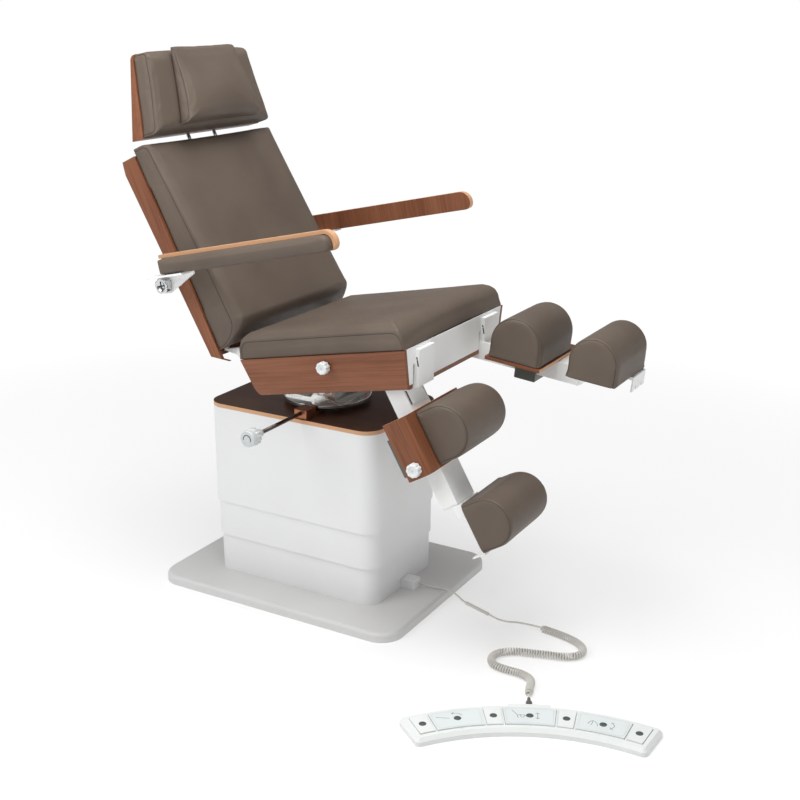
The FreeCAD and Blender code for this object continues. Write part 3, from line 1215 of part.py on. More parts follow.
def chain_until(edges, distance):
    """The first stretch of a chain of edges, cut at a distance inside one of its straight edges."""
    kept = []
    for edge in edges:
        if distance <= edge.Length:
            kept.append(Part.LineSegment(edge.Vertexes[0].Point, place_along([edge], distance)[0]).toShape())
            return kept
        kept.append(edge)
        distance -= edge.Length
    return kept


def biarc(here, along_here, there, along_there):
    """Two tangent arcs from one point and direction to the next."""
    span = there - here
    both = along_here + along_there
    slack = 2 * (1 - along_here.dot(along_there))
    lean = span.dot(both)
    reach = (math.sqrt(lean * lean + slack * span.dot(span)) - lean) / slack
    first = here + along_here * reach
    second = there - along_there * reach
    joint = (first + second) / 2
    arcs = []
    for a, corner, b in ((here, first, joint), (joint, second, there)):
        middle = (a + b) / 2
        half = (b - a).Length / 2
        turn = math.acos(min(1, half / reach))
        share = math.tan(turn / 2) / math.tan(turn)
        arcs.append(Part.Arc(a, middle + (corner - middle) * share, b).toShape())
    return arcs


def curl_distance(turned, start, end):
    """How far along the route a share of the turning has come; the turns start and end slowly."""
    ramp = size.curl_ramp
    full = end - start - ramp
    if turned < ramp / 2:
        return start + math.sqrt(2 * ramp * turned)
    if full - turned < ramp / 2:
        return end - math.sqrt(2 * ramp * max(0, full - turned))
    return start + ramp / 2 + turned


def helix_point(edges, start, end, turned):
    """A point on the curls, whose radius grows from nothing and shrinks back at the ends."""
    distance = curl_distance(turned, start, end)
    centre, along = place_along(edges, distance)
    across = FreeCAD.Vector(0, 0, 1).cross(along).normalize()
    rise = along.cross(across)
    ease = max(0, min(1, (distance - start) / size.curl_ramp, (end - distance) / size.curl_ramp))
    radius = (size.curl_diameter - size.cord_diameter) / 2 * ease * ease
    turn = 2 * math.pi * size.curl_count * turned / (end - start - size.curl_ramp)
    return centre + (across * math.sin(turn) + rise * math.cos(turn)) * radius


def sweep_cord(edges):
    """A round tube along a chain of edges that starts at the chain's first point."""
    wire = Part.Wire(edges)
    start = edges[0].valueAt(edges[0].FirstParameter)
    along = edges[0].tangentAt(edges[0].FirstParameter)
    ring = Part.Wire(Part.Circle(start, along, size.cord_diameter / 2).toShape())
    return wire.makePipeShell([ring], True, False), wire.Length


def set_cord(label, shape, length, radii):
    node = doc.addObject("Part::Feature", label)
    node.Shape = shape
    nodes[label] = node
    share = shape.Volume / (math.pi * size.cord_diameter ** 2 / 4 * length)
    print(label, "length %.0f mm, volume over section times length %.4f" % (length, share))
    print(label, "radii", " ".join("%.0f" % r for r in radii))


def make_lead():
    edges, radii = rounded_route(LEAD_ROUTE)
    shape, length = sweep_cord(edges)
    set_cord("control_lead", shape, length, radii)


def make_curly_cord():
    edges, radii = rounded_route(CURLY_ROUTE)
    total = sum(edge.Length for edge in edges)
    start = sum(edge.Length for edge in edges[:2 * CURL_FIRST_RUN + 1]) - size.cord_diameter
    end = total - edges[-1].Length
    full = end - start - size.curl_ramp
    steps = 2 * int(size.curl_count)
    marks = [full * i / steps for i in range(steps + 1)]
    nudge = full / steps / NUDGE_SHARE

    def along(mark):
        a = helix_point(edges, start, end, mark - nudge)
        return (helix_point(edges, start, end, mark + nudge) - a).normalize()

    points = [helix_point(edges, start, end, mark) for mark in marks]
    ways = [place_along(edges, start)[1]] + [along(mark) for mark in marks[1:-1]]
    ways.append(place_along(edges, end)[1])
    chain = chain_until(edges, start)
    for i in range(steps):
        chain.extend(biarc(points[i], ways[i], points[i + 1], ways[i + 1]))
    chain.append(edges[-1])
    shape, length = sweep_cord(chain)
    set_cord("curly_cord", shape, length, radii)
    tightest = min(edge.Curve.Radius for edge in chain if isinstance(edge.Curve, Part.Circle))
    print("curly_cord tightest turn %.1f mm" % tightest)
    report_self_gap(chain)


def report_self_gap(chain):
    """Prints the least gap between turns, from points along the middle line."""
    samples = []
    travelled = 0
    for edge in chain:
        for k in range(SPOTS_PER_ARC):
            step = edge.Length * k / SPOTS_PER_ARC
            samples.append((travelled + step, place_along([edge], step)[0]))
        travelled += edge.Length
    least = travelled
    skip = 3 * size.cord_diameter
    for i, (far, spot) in enumerate(samples):
        for way, other in samples[i + 1:i + GAP_REACH]:
            if way - far > skip:
                least = min(least, spot.distanceToPoint(other))
    print("curly_cord least gap between turns %.2f mm" % (least - size.cord_diameter))


def make_coupler():
    here, there = FreeCAD.Vector(*LEAD_ROUTE[-1]), FreeCAD.Vector(*CURLY_ROUTE[0])
    along = there - here
    turn = FreeCAD.Rotation(FreeCAD.Vector(1, 0, 0), along)
    body = start_body("cord_coupler", FreeCAD.Placement(here, turn))
    long = "%r" % along.Length
    add_pad(body, "front", None, long, "%s / 2" % long, circle=("0", "0", "coupler_diameter"))
    add_round(body, "coupler_edge", lambda m, a: near(a.x, 0))


def make_all():
    make_base_plate()
    make_cover("cover_lower", "plate_thick", "cover_lower_tall", 2)
    make_cover("cover_middle", "cover_middle_floor", "cover_middle_tall", 1)
    make_cover("cover_upper", "cover_upper_floor", "cover_upper_tall", 0)
    make_lid()
    make_column_tube("column_foot", "plate_thick", "column_foot_tall", 0)
    make_column_tube("column_middle", "column_middle_floor", "column_middle_tall", 1)
    make_column_head()
    make_lift_motor()
    make_turntable()
    add_tilt_bracket()
    make_lock_block()
    make_lock_lever()
    make_seat_carrier()
    make_seat_tray()
    make_seat_frame()
    make_leg_mount()
    make_seat_cushion()
    make_seat_knob("right")
    make_back_shell()
    make_back_frame()
    make_back_cushion()
    make_head_pins()
    make_head_shell()
    make_head_cushion()
    make_head_pillow()
    for side in LEG_SIDES:
        make_arm_board(side)
        make_arm_pad(side)
        make_arm_bracket(side)
        make_arm_knob(side)
        make_leg_rail(side)
        make_foot_carrier(side)
        make_calf_shell(side)
        make_calf_carriage(side)
        make_calf_knob(side)
        make_roll_cushion("calf_cushion_" + side, side, shifted(side, "calf_start"), "calf_long",
                          "calf_straight", "(%s + shell_thick + touch_gap)" % SHELL_FLOOR)
        make_roll_cushion("foot_cushion_" + side, side, "foot_start", "foot_long", "foot_straight",
                          "(rail_over + foot_lift + foot_plate_thick + touch_gap)")
    make_control_housing()
    for label in BUTTONS:
        make_button(label)
    make_cord_inlet()
    make_cable_socket()
    make_lead()
    make_coupler()
    make_curly_cord()


def check_model():
    """Stops on any failed object or empty or broken shape."""
    for item in doc.Objects:
        if "Invalid" in item.State or "Error" in item.State:
            raise ValueError("%s failed: %s" % (item.Label, item.State))
    for label, item in nodes.items():
        if item.Shape.isNull() or not item.Shape.isValid():
            raise ValueError("%s has no sound shape" % label)
        print(label, "solids", len(item.Shape.Solids), "volume %.0f" % item.Shape.Volume)


def export_parts():
    os.makedirs("parts", exist_ok=True)
    for label, item in nodes.items():
        item.Label = label
        item.Shape.exportStep("parts/%s.step" % label)


make_all()
doc.recompute()
check_model()
export_parts()
print(len(nodes), "parts")
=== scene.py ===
import bmesh
import bpy
import json
import math
import numpy as np
from collections import namedtuple
from mathutils import Matrix, Vector
from mathutils.bvhtree import BVHTree
from mathutils.kdtree import KDTree

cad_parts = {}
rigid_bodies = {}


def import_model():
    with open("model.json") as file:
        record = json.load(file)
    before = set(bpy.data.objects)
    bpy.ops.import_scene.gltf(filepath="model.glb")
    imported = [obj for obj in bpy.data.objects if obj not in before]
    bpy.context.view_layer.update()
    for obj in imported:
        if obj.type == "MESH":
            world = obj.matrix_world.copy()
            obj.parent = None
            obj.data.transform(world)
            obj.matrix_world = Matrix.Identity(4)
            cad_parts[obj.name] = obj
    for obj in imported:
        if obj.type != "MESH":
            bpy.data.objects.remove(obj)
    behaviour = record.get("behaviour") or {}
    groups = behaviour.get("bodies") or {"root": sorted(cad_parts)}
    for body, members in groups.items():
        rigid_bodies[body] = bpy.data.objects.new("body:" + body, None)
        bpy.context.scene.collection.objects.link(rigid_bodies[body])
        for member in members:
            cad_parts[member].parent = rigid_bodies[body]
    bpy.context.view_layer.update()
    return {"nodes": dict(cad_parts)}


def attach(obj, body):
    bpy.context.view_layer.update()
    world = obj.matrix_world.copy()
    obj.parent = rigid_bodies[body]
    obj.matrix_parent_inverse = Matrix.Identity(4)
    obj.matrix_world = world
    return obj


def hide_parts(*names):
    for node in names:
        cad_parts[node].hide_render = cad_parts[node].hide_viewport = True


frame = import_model()
NODES = frame["nodes"]
MM = 0.001

# Frames of the chair's sections: +Z leaves the upholstery of the seat and the legs, +X that of back and head

SEAT_TILT = 10.9
BACK_TILT = 24.6
HEAD_TILT = 15.1
ARM_TILT = 12.4
LEG_TILT = {"right": 60, "left": 6}
SEAT_HINGE = (380, 788)


def tilted(x, z, degrees):
    return Matrix.Translation((x * MM, 0, z * MM)) @ Matrix.Rotation(math.radians(degrees), 4, "Y")


SEAT = tilted(*SEAT_HINGE, -SEAT_TILT)
BACK = tilted(-112.287, 784.854, -BACK_TILT)
HEAD = tilted(-408.547, 1383.898, -HEAD_TILT)
ARM = tilted(-292, 983, -ARM_TILT)
LEG = {side: tilted(*SEAT_HINGE, tilt) for side, tilt in LEG_TILT.items()}
SIDES = {"right": -1, "left": 1}


# Camera at the photograph's place

CAMERA_SPOT = (2.0176, -3.0244, 1.7669)
CAMERA_TURN = (30.003, 18.064, 0.125)
FOCAL_PIXELS = 1236.77
PICTURE_PIXELS = 800
SENSOR = 36.0


def make_camera():
    data = bpy.data.cameras.new("camera")
    data.sensor_width = SENSOR
    data.lens = FOCAL_PIXELS / PICTURE_PIXELS * SENSOR
    camera = bpy.data.objects.new("camera", data)
    bpy.context.scene.collection.objects.link(camera)
    azimuth, elevation, roll = (math.radians(v) for v in CAMERA_TURN)
    look = Vector((-math.sin(azimuth) * math.cos(elevation), math.cos(azimuth) * math.cos(elevation),
                   -math.sin(elevation)))
    camera.rotation_mode = "QUATERNION"
    turn = look.to_track_quat("-Z", "Y") @ Matrix.Rotation(roll, 3, "Z").to_quaternion()
    camera.rotation_quaternion = turn
    camera.location = CAMERA_SPOT
    bpy.context.scene.camera = camera


# Light: a large soft lamp from the left, one from above, one over the front, a weak one from the right

CHAIR_MIDDLE = (0.2, -0.1, 0.7)
# For each lamp: its place, what it faces, its width and its power
LAMPS = {
    "key_lamp": ((-1.9, -3.8, 3.4), CHAIR_MIDDLE, 3.0, 90),
    "top_lamp": ((0.2, -0.1, 4.2), CHAIR_MIDDLE, 2.8, 92),
    "front_lamp": ((0.6, -1.2, 3.0), (-0.3, 0.0, 1.2), 1.6, 24),
    "side_lamp": ((3.7, -0.7, 1.5), CHAIR_MIDDLE, 3.0, 10),
}
PLAIN_WHITE = (1, 1, 1, 1)
SURROUND_LIGHT = 0.28
SURROUND_SHOWN = 1.0


def add_lamp(name, spot, aim, size, power):
    data = bpy.data.lights.new(name, "AREA")
    data.shape = "DISK"
    data.size = size
    data.energy = power
    lamp = bpy.data.objects.new(name, data)
    lamp.location = spot
    lamp.rotation_mode = "QUATERNION"
    lamp.rotation_quaternion = (Vector(aim) - Vector(spot)).to_track_quat("-Z", "Y")
    bpy.context.scene.collection.objects.link(lamp)


def seen_directly(tree):
    """1 where the surround itself is seen, and 0 where it only lights the chair."""
    return tree.nodes.new("ShaderNodeLightPath").outputs["Is Camera Ray"]


def make_light():
    for name, (spot, aim, size, power) in LAMPS.items():
        add_lamp(name, spot, aim, size, power)
    world = bpy.data.worlds.new("surround")
    bpy.context.scene.world = world
    world.use_nodes = True
    tree = world.node_tree
    lighting = tree.nodes["Background"]
    shown = tree.nodes.new("ShaderNodeBackground")
    for node, strength in ((lighting, SURROUND_LIGHT), (shown, SURROUND_SHOWN)):
        node.inputs["Color"].default_value = PLAIN_WHITE
        node.inputs["Strength"].default_value = strength
    blend = tree.nodes.new("ShaderNodeMixShader")
    tree.links.new(seen_directly(tree), blend.inputs["Fac"])
    tree.links.new(lighting.outputs[0], blend.inputs[1])
    tree.links.new(shown.outputs[0], blend.inputs[2])
    tree.links.new(blend.outputs[0], tree.nodes["World Output"].inputs["Surface"])


FLOOR_HALF = 14.0
FLOOR_REACH = 3.4
FLOOR_NEAR = (0.56, 0.56, 0.56, 1)
FLOOR_FAR = (0.02, 0.02, 0.02, 1)
GLOW_NEAR = (0.44, 0.44, 0.44, 1)
GLOW_FAR = (1.0, 1.0, 1.0, 1)
FADE_START, FADE_END = 0.1, 0.75


def make_floor():
    """A pale sweep that takes a soft shadow near the chair and runs out into the white surround."""
    mesh = bpy.data.meshes.new("floor")
    h = FLOOR_HALF
    mesh.from_pydata([(-h, -h, 0), (h, -h, 0), (h, h, 0), (-h, h, 0)], [], [(0, 1, 2, 3)])
    floor = bpy.data.objects.new("floor", mesh)
    bpy.context.scene.collection.objects.link(floor)
    material, tree, shader = start_material("floor_paint", Roughness=0.9, Specular_IOR_Level=0.0,
                                            Emission_Strength=1.0)
    spot = own_place(tree, (1 / FLOOR_REACH, 1 / FLOOR_REACH, 1))
    round_fade = add_node(tree, "ShaderNodeTexGradient", {"Vector": spot}, gradient_type="SPHERICAL")
    fade = spread(tree, round_fade.outputs["Fac"], low=0.0, high=1.0, start=FADE_START, end=FADE_END)
    connect(tree, shader, Base_Color=mix(tree, fade, FLOOR_FAR, FLOOR_NEAR),
            Emission_Color=mix(tree, fade, GLOW_FAR, GLOW_NEAR))
    mesh.materials.append(material)


# Materials

def srgb(red, green, blue):
    """A colour as it looks on a screen, in the linear values that a shader takes."""
    shares = [v / 255 for v in (red, green, blue)]
    return (*(v / 12.92 if v <= 0.04045 else ((v + 0.055) / 1.055) ** 2.4 for v in shares), 1.0)


def add_node(tree, kind, inputs=None, **settings):
    node = tree.nodes.new(kind)
    for key, value in settings.items():
        setattr(node, key, value)
    for key, value in (inputs or {}).items():
        if isinstance(value, bpy.types.NodeSocket):
            tree.links.new(value, node.inputs[key])
        else:
            node.inputs[key].default_value = value
    return node


def start_material(name, **sockets):
    """A new material and its node tree, with constant values set on the shader itself."""
    material = bpy.data.materials.new(name)
    material.use_nodes = True
    tree = material.node_tree
    shader = tree.nodes["Principled BSDF"]
    for key, value in sockets.items():
        shader.inputs[key.replace("_", " ")].default_value = value
    return material, tree, shader


def connect(tree, shader, **sources):
    """Links each source to the shader's socket of that name."""
    for key, source in sources.items():
        tree.links.new(source, shader.inputs[key.replace("_", " ")])


def own_place(tree, scale=(1, 1, 1), turn=(0, 0, 0), shift=(0, 0, 0)):
    """The piece's own coordinates, turned and then stretched, so that the pattern moves with it."""
    spot = add_node(tree, "ShaderNodeTexCoord").outputs["Object"]
    turning = {"Vector": spot, "Location": shift, "Rotation": [math.radians(v) for v in turn]}
    spot = add_node(tree, "ShaderNodeMapping", turning).outputs[0]
    return add_node(tree, "ShaderNodeMapping", {"Vector": spot, "Scale": scale}).outputs[0]


def noise(tree, spot, scale, detail=2.0, roughness=0.5, distortion=0.0):
    inputs = {"Vector": spot, "Scale": scale, "Detail": detail, "Roughness": roughness,
              "Distortion": distortion}
    return add_node(tree, "ShaderNodeTexNoise", inputs).outputs["Fac"]


def ramp(tree, value, stops):
    node = add_node(tree, "ShaderNodeValToRGB", {"Fac": value})
    elements = node.color_ramp.elements
    for i, (place, colour) in enumerate(stops):
        element = elements[i] if i < 2 else elements.new(place)
        element.position = place
        element.color = colour
    return node.outputs["Color"]


def mix(tree, share, first, second):
    """One colour turning into another; a mixing node keeps its colours at sockets 6, 7 and 2."""
    return add_node(tree, "ShaderNodeMix", {0: share, 6: first, 7: second}, data_type="RGBA").outputs[2]


def math_node(tree, way, first, second):
    return add_node(tree, "ShaderNodeMath", {0: first, 1: second}, operation=way).outputs[0]


def spread(tree, value, low, high, start=0.0, end=1.0):
    return add_node(tree, "ShaderNodeMapRange", {"Value": value, "From Min": start, "From Max": end,
                                                 "To Min": low, "To Max": high}).outputs[0]


def bump(tree, height, distance, strength=1.0, base=None):
    inputs = {"Height": height, "Distance": distance, "Strength": strength}
    if base is not None:
        inputs["Normal"] = base
    return add_node(tree, "ShaderNodeBump", inputs).outputs[0]


def eased(tree, radius):
    """The surface direction with the piece's sharp edges eased by a small radius."""
    return add_node(tree, "ShaderNodeBevel", {"Radius": radius}, samples=6).outputs[0]


def make_leather(name, base, light, dark):
    """Smooth taupe leatherette: a fine pebbled grain, faint mottling and a soft sheen."""
    material, tree, shader = start_material(name, Specular_IOR_Level=0.32)
    spot = own_place(tree)
    broad = noise(tree, spot, scale=4.0, detail=3.0)
    colour = ramp(tree, broad, [(0.3, dark), (0.7, light), (0.5, base)])
    grain = noise(tree, spot, scale=480.0, detail=3.0, roughness=0.6)
    colour = mix(tree, spread(tree, grain, low=0.0, high=0.16, start=0.4, end=0.7), colour, dark)
    sheen = spread(tree, noise(tree, spot, scale=60.0, detail=3.0), low=0.44, high=0.56)
    cells = add_node(tree, "ShaderNodeTexVoronoi", {"Vector": spot, "Scale": 560.0},
                     feature="DISTANCE_TO_EDGE").outputs["Distance"]
    gaps = spread(tree, cells, low=0.0, high=1.0, start=0.0, end=0.35)
    pebble = bump(tree, gaps, distance=0.00022, strength=0.5)
    waves = noise(tree, spot, scale=26.0, detail=3.0)
    soft = bump(tree, waves, distance=0.0012, strength=0.25, base=pebble)
    connect(tree, shader, Base_Color=colour, Roughness=sheen, Normal=soft)
    return material


WALNUT_DARK = srgb(88, 52, 35)
WALNUT_MID = srgb(126, 78, 54)
WALNUT_LIGHT = srgb(147, 97, 70)
# Near-black that a board lying in shadow is darkened toward: painted shade
WALNUT_SHADOW = (0.01, 0.006, 0.004, 1)
# Shares of the broad bands, the streaks and the fine lines in the figure, and how dark its pores are
BAND_SHARE, STREAK_SHARE, FINE_SHARE = 0.42, 0.4, 0.18
PORE_SHARE = 0.25


def grain_noise(tree, along, across, turn, shift, **settings):
    """Noise with one density along the wood's grain and another across it."""
    return noise(tree, own_place(tree, (along, across, across), turn, shift), **settings)


def walnut_colour(tree, turn=(0, 0, 0), shift=(0, 0, 0)):
    """Walnut figure along the piece's X after turning it: broad bands, fine streaks and open pores."""
    bands = grain_noise(tree, 0.9, 7.0, turn, shift, scale=2.2, detail=3.0, roughness=0.5, distortion=0.6)
    streaks = grain_noise(tree, 1.6, 62.0, turn, shift, scale=2.6, detail=6.0, roughness=0.66)
    fine = grain_noise(tree, 3.0, 190.0, turn, shift, scale=3.0, detail=4.0, roughness=0.6)
    figure = math_node(tree, "ADD", math_node(tree, "MULTIPLY", bands, BAND_SHARE),
                       math_node(tree, "MULTIPLY", streaks, STREAK_SHARE))
    figure = math_node(tree, "ADD", figure, math_node(tree, "MULTIPLY", fine, FINE_SHARE))
    colour = ramp(tree, figure, [(0.3, WALNUT_DARK), (0.66, WALNUT_LIGHT), (0.47, WALNUT_MID)])
    dark_lines = grain_noise(tree, 1.0, 90.0, turn, shift, scale=1.7, detail=3.0, roughness=0.5)
    share = spread(tree, dark_lines, low=0.0, high=0.5, start=0.6, end=0.74)
    colour = mix(tree, share, colour, WALNUT_DARK)
    pores = grain_noise(tree, 9.0, 420.0, turn, shift, scale=2.0, detail=2.0)
    holes = spread(tree, pores, low=0.0, high=1.0, start=0.62, end=0.72)
    return mix(tree, math_node(tree, "MULTIPLY", holes, PORE_SHARE), colour, WALNUT_DARK), holes


def make_walnut(name, turn=(0, 0, 0), shift=(0, 0, 0), edge=None, shade=1.0):
    """Oiled walnut veneer; edge gives where the pale plywood core shows, and shade how much of its
    brightness stays: below 1 the board is darkened toward WALNUT_SHADOW as painted shade.
    """
    material, tree, shader = start_material(name, Roughness=0.4, Specular_IOR_Level=0.25)
    colour, holes = walnut_colour(tree, turn, shift)
    # Painted shade: the board's colour is pulled toward WALNUT_SHADOW where it lies in shadow
    if shade < 1:
        colour = mix(tree, 1 - shade, colour, WALNUT_SHADOW)
    if edge:
        colour = mix(tree, edge_share(tree, edge), colour, ply_colour(tree, edge))
    surface = math_node(tree, "SUBTRACT", 1.0, holes)
    normal = bump(tree, surface, distance=0.0001, strength=0.5, base=eased(tree, 1.2 * MM))
    connect(tree, shader, Base_Color=colour, Normal=normal)
    return material


def axis_value(tree, source, axis, turn):
    """One coordinate of the piece's place or surface direction, in a frame turned back about Y."""
    spot = add_node(tree, "ShaderNodeTexCoord").outputs[source]
    turned = add_node(tree, "ShaderNodeVectorRotate", {"Vector": spot, "Angle": math.radians(turn)},
                      rotation_type="Y_AXIS").outputs[0]
    return add_node(tree, "ShaderNodeSeparateXYZ", {"Vector": turned}).outputs[axis]


# How squarely a surface faces along the board's plane before it counts as a cut edge
EDGE_FACING = 0.69


def edge_share(tree, edge):
    """1 on the board's cut edges: where the surface faces along the plane of the board."""
    shares = []
    for axis in edge["cut"]:
        face = math_node(tree, "ABSOLUTE", axis_value(tree, "Normal", axis, edge["turn"]), 0.0)
        shares.append(math_node(tree, "GREATER_THAN", face, EDGE_FACING))
    if "beyond" in edge:
        place = math_node(tree, "ABSOLUTE", axis_value(tree, "Object", edge["axis"], edge["turn"]), 0.0)
        shares.append(math_node(tree, "GREATER_THAN", place, edge["beyond"]))
    share = shares[0]
    for other in shares[1:]:
        share = math_node(tree, "MAXIMUM", share, other)
    return share


PLY_LIGHT = srgb(222, 178, 140)
PLY_DARK = srgb(196, 146, 108)
PLY_LAYER = 1.4 * MM


def ply_colour(tree, edge):
    """Birch layers, alternating end grain and long grain across the board's thickness."""
    depth = axis_value(tree, "Object", edge["axis"], edge["turn"])
    layer = math_node(tree, "PINGPONG", depth, PLY_LAYER)
    share = spread(tree, layer, low=0.0, high=1.0, start=0.35 * PLY_LAYER, end=0.65 * PLY_LAYER)
    colour = mix(tree, share, PLY_LIGHT, PLY_DARK)
    flecks = noise(tree, own_place(tree, (120.0, 120.0, 120.0)), scale=4.0, detail=3.0)
    return mix(tree, spread(tree, flecks, low=0.0, high=0.3, start=0.45, end=0.7), colour, PLY_DARK)


def tinted(colour, red, green, blue):
    return (colour[0] * red, colour[1] * green, colour[2] * blue, 1)


def make_paint(name, colour, roughness=0.4, peel=0.00006):
    """Powder coat: even colour with a faint orange peel and slight handling marks."""
    material, tree, shader = start_material(name, Specular_IOR_Level=0.45)
    spot = own_place(tree)
    marks = noise(tree, spot, scale=3.0, detail=5.0, roughness=0.6)
    share = spread(tree, marks, low=0.0, high=0.6, start=0.45, end=0.75)
    sheen = noise(tree, spot, scale=40.0, detail=4.0)
    skin = noise(tree, spot, scale=420.0, detail=1.0)
    connect(tree, shader, Base_Color=mix(tree, share, colour, tinted(colour, 0.93, 0.93, 0.92)),
            Roughness=spread(tree, sheen, low=roughness - 0.06, high=roughness + 0.08),
            Normal=bump(tree, skin, distance=peel, strength=0.6, base=eased(tree, 1.0 * MM)))
    return material


def make_metal(name, colour, roughness, grain=(1, 1, 1), depth=0.00002):
    """Bare or plated metal with fine brushing along one direction."""
    material, tree, shader = start_material(name, Metallic=1.0)
    lines = noise(tree, own_place(tree, grain), scale=380.0, detail=3.0)
    share = spread(tree, lines, low=0.0, high=0.5, start=0.4, end=0.7)
    connect(tree, shader, Base_Color=mix(tree, share, colour, tinted(colour, 0.86, 0.86, 0.86)),
            Roughness=spread(tree, lines, low=roughness * 0.8, high=roughness * 1.3),
            Normal=bump(tree, lines, distance=depth, strength=0.5, base=eased(tree, 0.6 * MM)))
    return material


def make_plastic(name, colour, roughness=0.45, grain=0.00008):
    """Moulded plastic with a fine spark-eroded texture."""
    material, tree, shader = start_material(name, Specular_IOR_Level=0.45)
    spot = own_place(tree)
    marks = noise(tree, spot, scale=12.0, detail=4.0)
    share = spread(tree, marks, low=0.0, high=0.5, start=0.4, end=0.75)
    sheen = noise(tree, spot, scale=90.0, detail=3.0)
    skin = noise(tree, spot, scale=700.0, detail=2.0)
    connect(tree, shader, Base_Color=mix(tree, share, colour, tinted(colour, 0.9, 0.9, 0.9)),
            Roughness=spread(tree, sheen, low=roughness - 0.05, high=roughness + 0.07),
            Normal=bump(tree, skin, distance=grain, strength=0.6, base=eased(tree, 0.8 * MM)))
    return material


def ply_edge(axis, turn, cut, beyond=None):
    """Where a board shows its core: its thin axis, the frame's turn and the directions that are cut."""
    edge = {"axis": axis, "turn": turn, "cut": cut}
    if beyond is not None:
        edge["beyond"] = beyond
    return edge


LEATHER = make_leather("leatherette", srgb(98, 86, 76), srgb(103, 91, 80), srgb(90, 78, 69))
SEAM_LEATHER = make_leather("seam_leatherette", srgb(62, 54, 48), srgb(70, 61, 54), srgb(52, 45, 40))
WHITE = make_paint("white_powder_coat", srgb(244, 245, 244))
PLATE_WHITE = make_paint("plate_powder_coat", srgb(210, 210, 209), 0.46, 0.0001)
COVER_WHITE = make_paint("cover_lacquer", srgb(233, 234, 234), 0.34, 0.00003)
STAINLESS = make_metal("stainless", srgb(205, 205, 203), 0.2, (1, 1, 14), 0.000004)
STEEL = make_metal("bright_steel", srgb(185, 186, 188), 0.3, (20, 1, 1))
CHROME = make_metal("chrome", srgb(214, 215, 217), 0.08, (1, 1, 1), 0.000002)
ROD_STEEL = make_metal("dark_steel", srgb(92, 84, 80), 0.24, (1, 1, 1), 0.000004)
COPPER = make_metal("copper_clamp", srgb(176, 118, 88), 0.4, (1, 1, 1), 0.0002)
CARRIAGE = make_plastic("carriage_grey", srgb(92, 95, 88))
CONTROL = make_plastic("control_white", srgb(233, 236, 234), 0.4)
CONTROL_CLEAR = make_plastic("rocker_pale", srgb(226, 233, 232), 0.22, 0.00002)
MARK_DARK = make_plastic("mark_dark", srgb(78, 86, 88), 0.5)
# Pale grey: the rockers' printed outlines, and painted shade in the white knobs' cross recesses
MARK_PALE = make_plastic("mark_pale", srgb(200, 208, 208), 0.4)
# Painted shade of the bracket openings and of the chrome knobs' cross recesses
SLOT_PAINTED_SHADE = make_plastic("slot_painted_shade", srgb(60, 61, 62), 0.6)
KNOB_WHITE = make_plastic("knob_white", srgb(226, 229, 230), 0.32)
KNOB_SILVER = make_paint("knob_silver", srgb(205, 209, 210), 0.28, 0.00001)
CORD_BEIGE = make_plastic("cord_beige", srgb(208, 205, 199), 0.5, 0.0001)
RELIEF = make_plastic("relief_dark", srgb(96, 96, 92), 0.55)
MOTOR = make_paint("motor_grey", srgb(120, 122, 124), 0.5)

# Beyond this distance from the chair's middle the arm boards show their core
ARM_CORE = 371 * MM
# The lid lies in shadow under the seat, so its walnut gets this much painted shade
LID_SHADE = 0.36
UPRIGHT = 90
WALNUT = {
    "lid_board": make_walnut("lid_walnut", (0, 0, 0), (0, 0.31, 0.4), ply_edge("Z", 0, "XY"), LID_SHADE),
    "seat_tray": make_walnut("tray_walnut", (0, SEAT_TILT, 0), (0.1, 0.22, 0.06)),
    "back_shell": make_walnut("back_walnut", (0, UPRIGHT + BACK_TILT, 0), (0.3, 0.2, 0.1)),
    "head_shell": make_walnut("head_walnut", (0, UPRIGHT + HEAD_TILT, 0), (0.7, 0.26, 0.2)),
}
for side_name, side_sign in SIDES.items():
    leg_turn = -LEG_TILT[side_name]
    WALNUT["arm_board_" + side_name] = make_walnut(
        "arm_walnut_" + side_name, (0, UPRIGHT + ARM_TILT, 0), (0.2, 0.1, 0.3 * side_sign),
        ply_edge("Y", ARM_TILT, "XZ", ARM_CORE))
    WALNUT["calf_shell_" + side_name] = make_walnut(
        "calf_walnut_" + side_name, (0, leg_turn, 0), (0.4, 0.2, 0.15), ply_edge("Z", leg_turn, "X"))


def dress(material, *names):
    for name in names:
        for held in NODES[name].material_slots:
            held.material = material


def dress_frame():
    dress(PLATE_WHITE, "base_plate")
    dress(COVER_WHITE, "cover_lower", "cover_middle", "cover_upper", "cable_socket")
    dress(STEEL, "column_foot", "column_middle")
    dress(STAINLESS, "column_head", "turntable")
    dress(MOTOR, "lift_motor")
    dress(COPPER, "lock_block")
    dress(CHROME, "head_pins")
    dress(WHITE, "seat_carrier", "leg_mount", "seat_frame", "back_frame")
    for side in SIDES:
        dress(WHITE, "arm_bracket_" + side, "leg_rail_" + side, "foot_carrier_" + side)
        dress(CARRIAGE, "calf_carriage_" + side)
    dress(CONTROL, "control_housing", "key_one", "key_two", "key_three", "key_four")
    dress(RELIEF, "cord_inlet")
    dress(CONTROL_CLEAR, "rocker_left", "rocker_middle", "rocker_right")
    dress(CORD_BEIGE, "cord_coupler")
    for name, material in WALNUT.items():
        dress(material, name)


# Mesh pieces built here: tubes along lines, turned knobs and small raised marks

# A box whose first four points go round one face and the next four round the face behind it
BOX_FACES = ((0, 1, 2, 3), (4, 7, 6, 5), (0, 4, 5, 1), (1, 5, 6, 2), (2, 6, 7, 3), (3, 7, 4, 0))
LINE_ORDER = 3
TUBE_STEPS, TUBE_SIDES = 2, 2


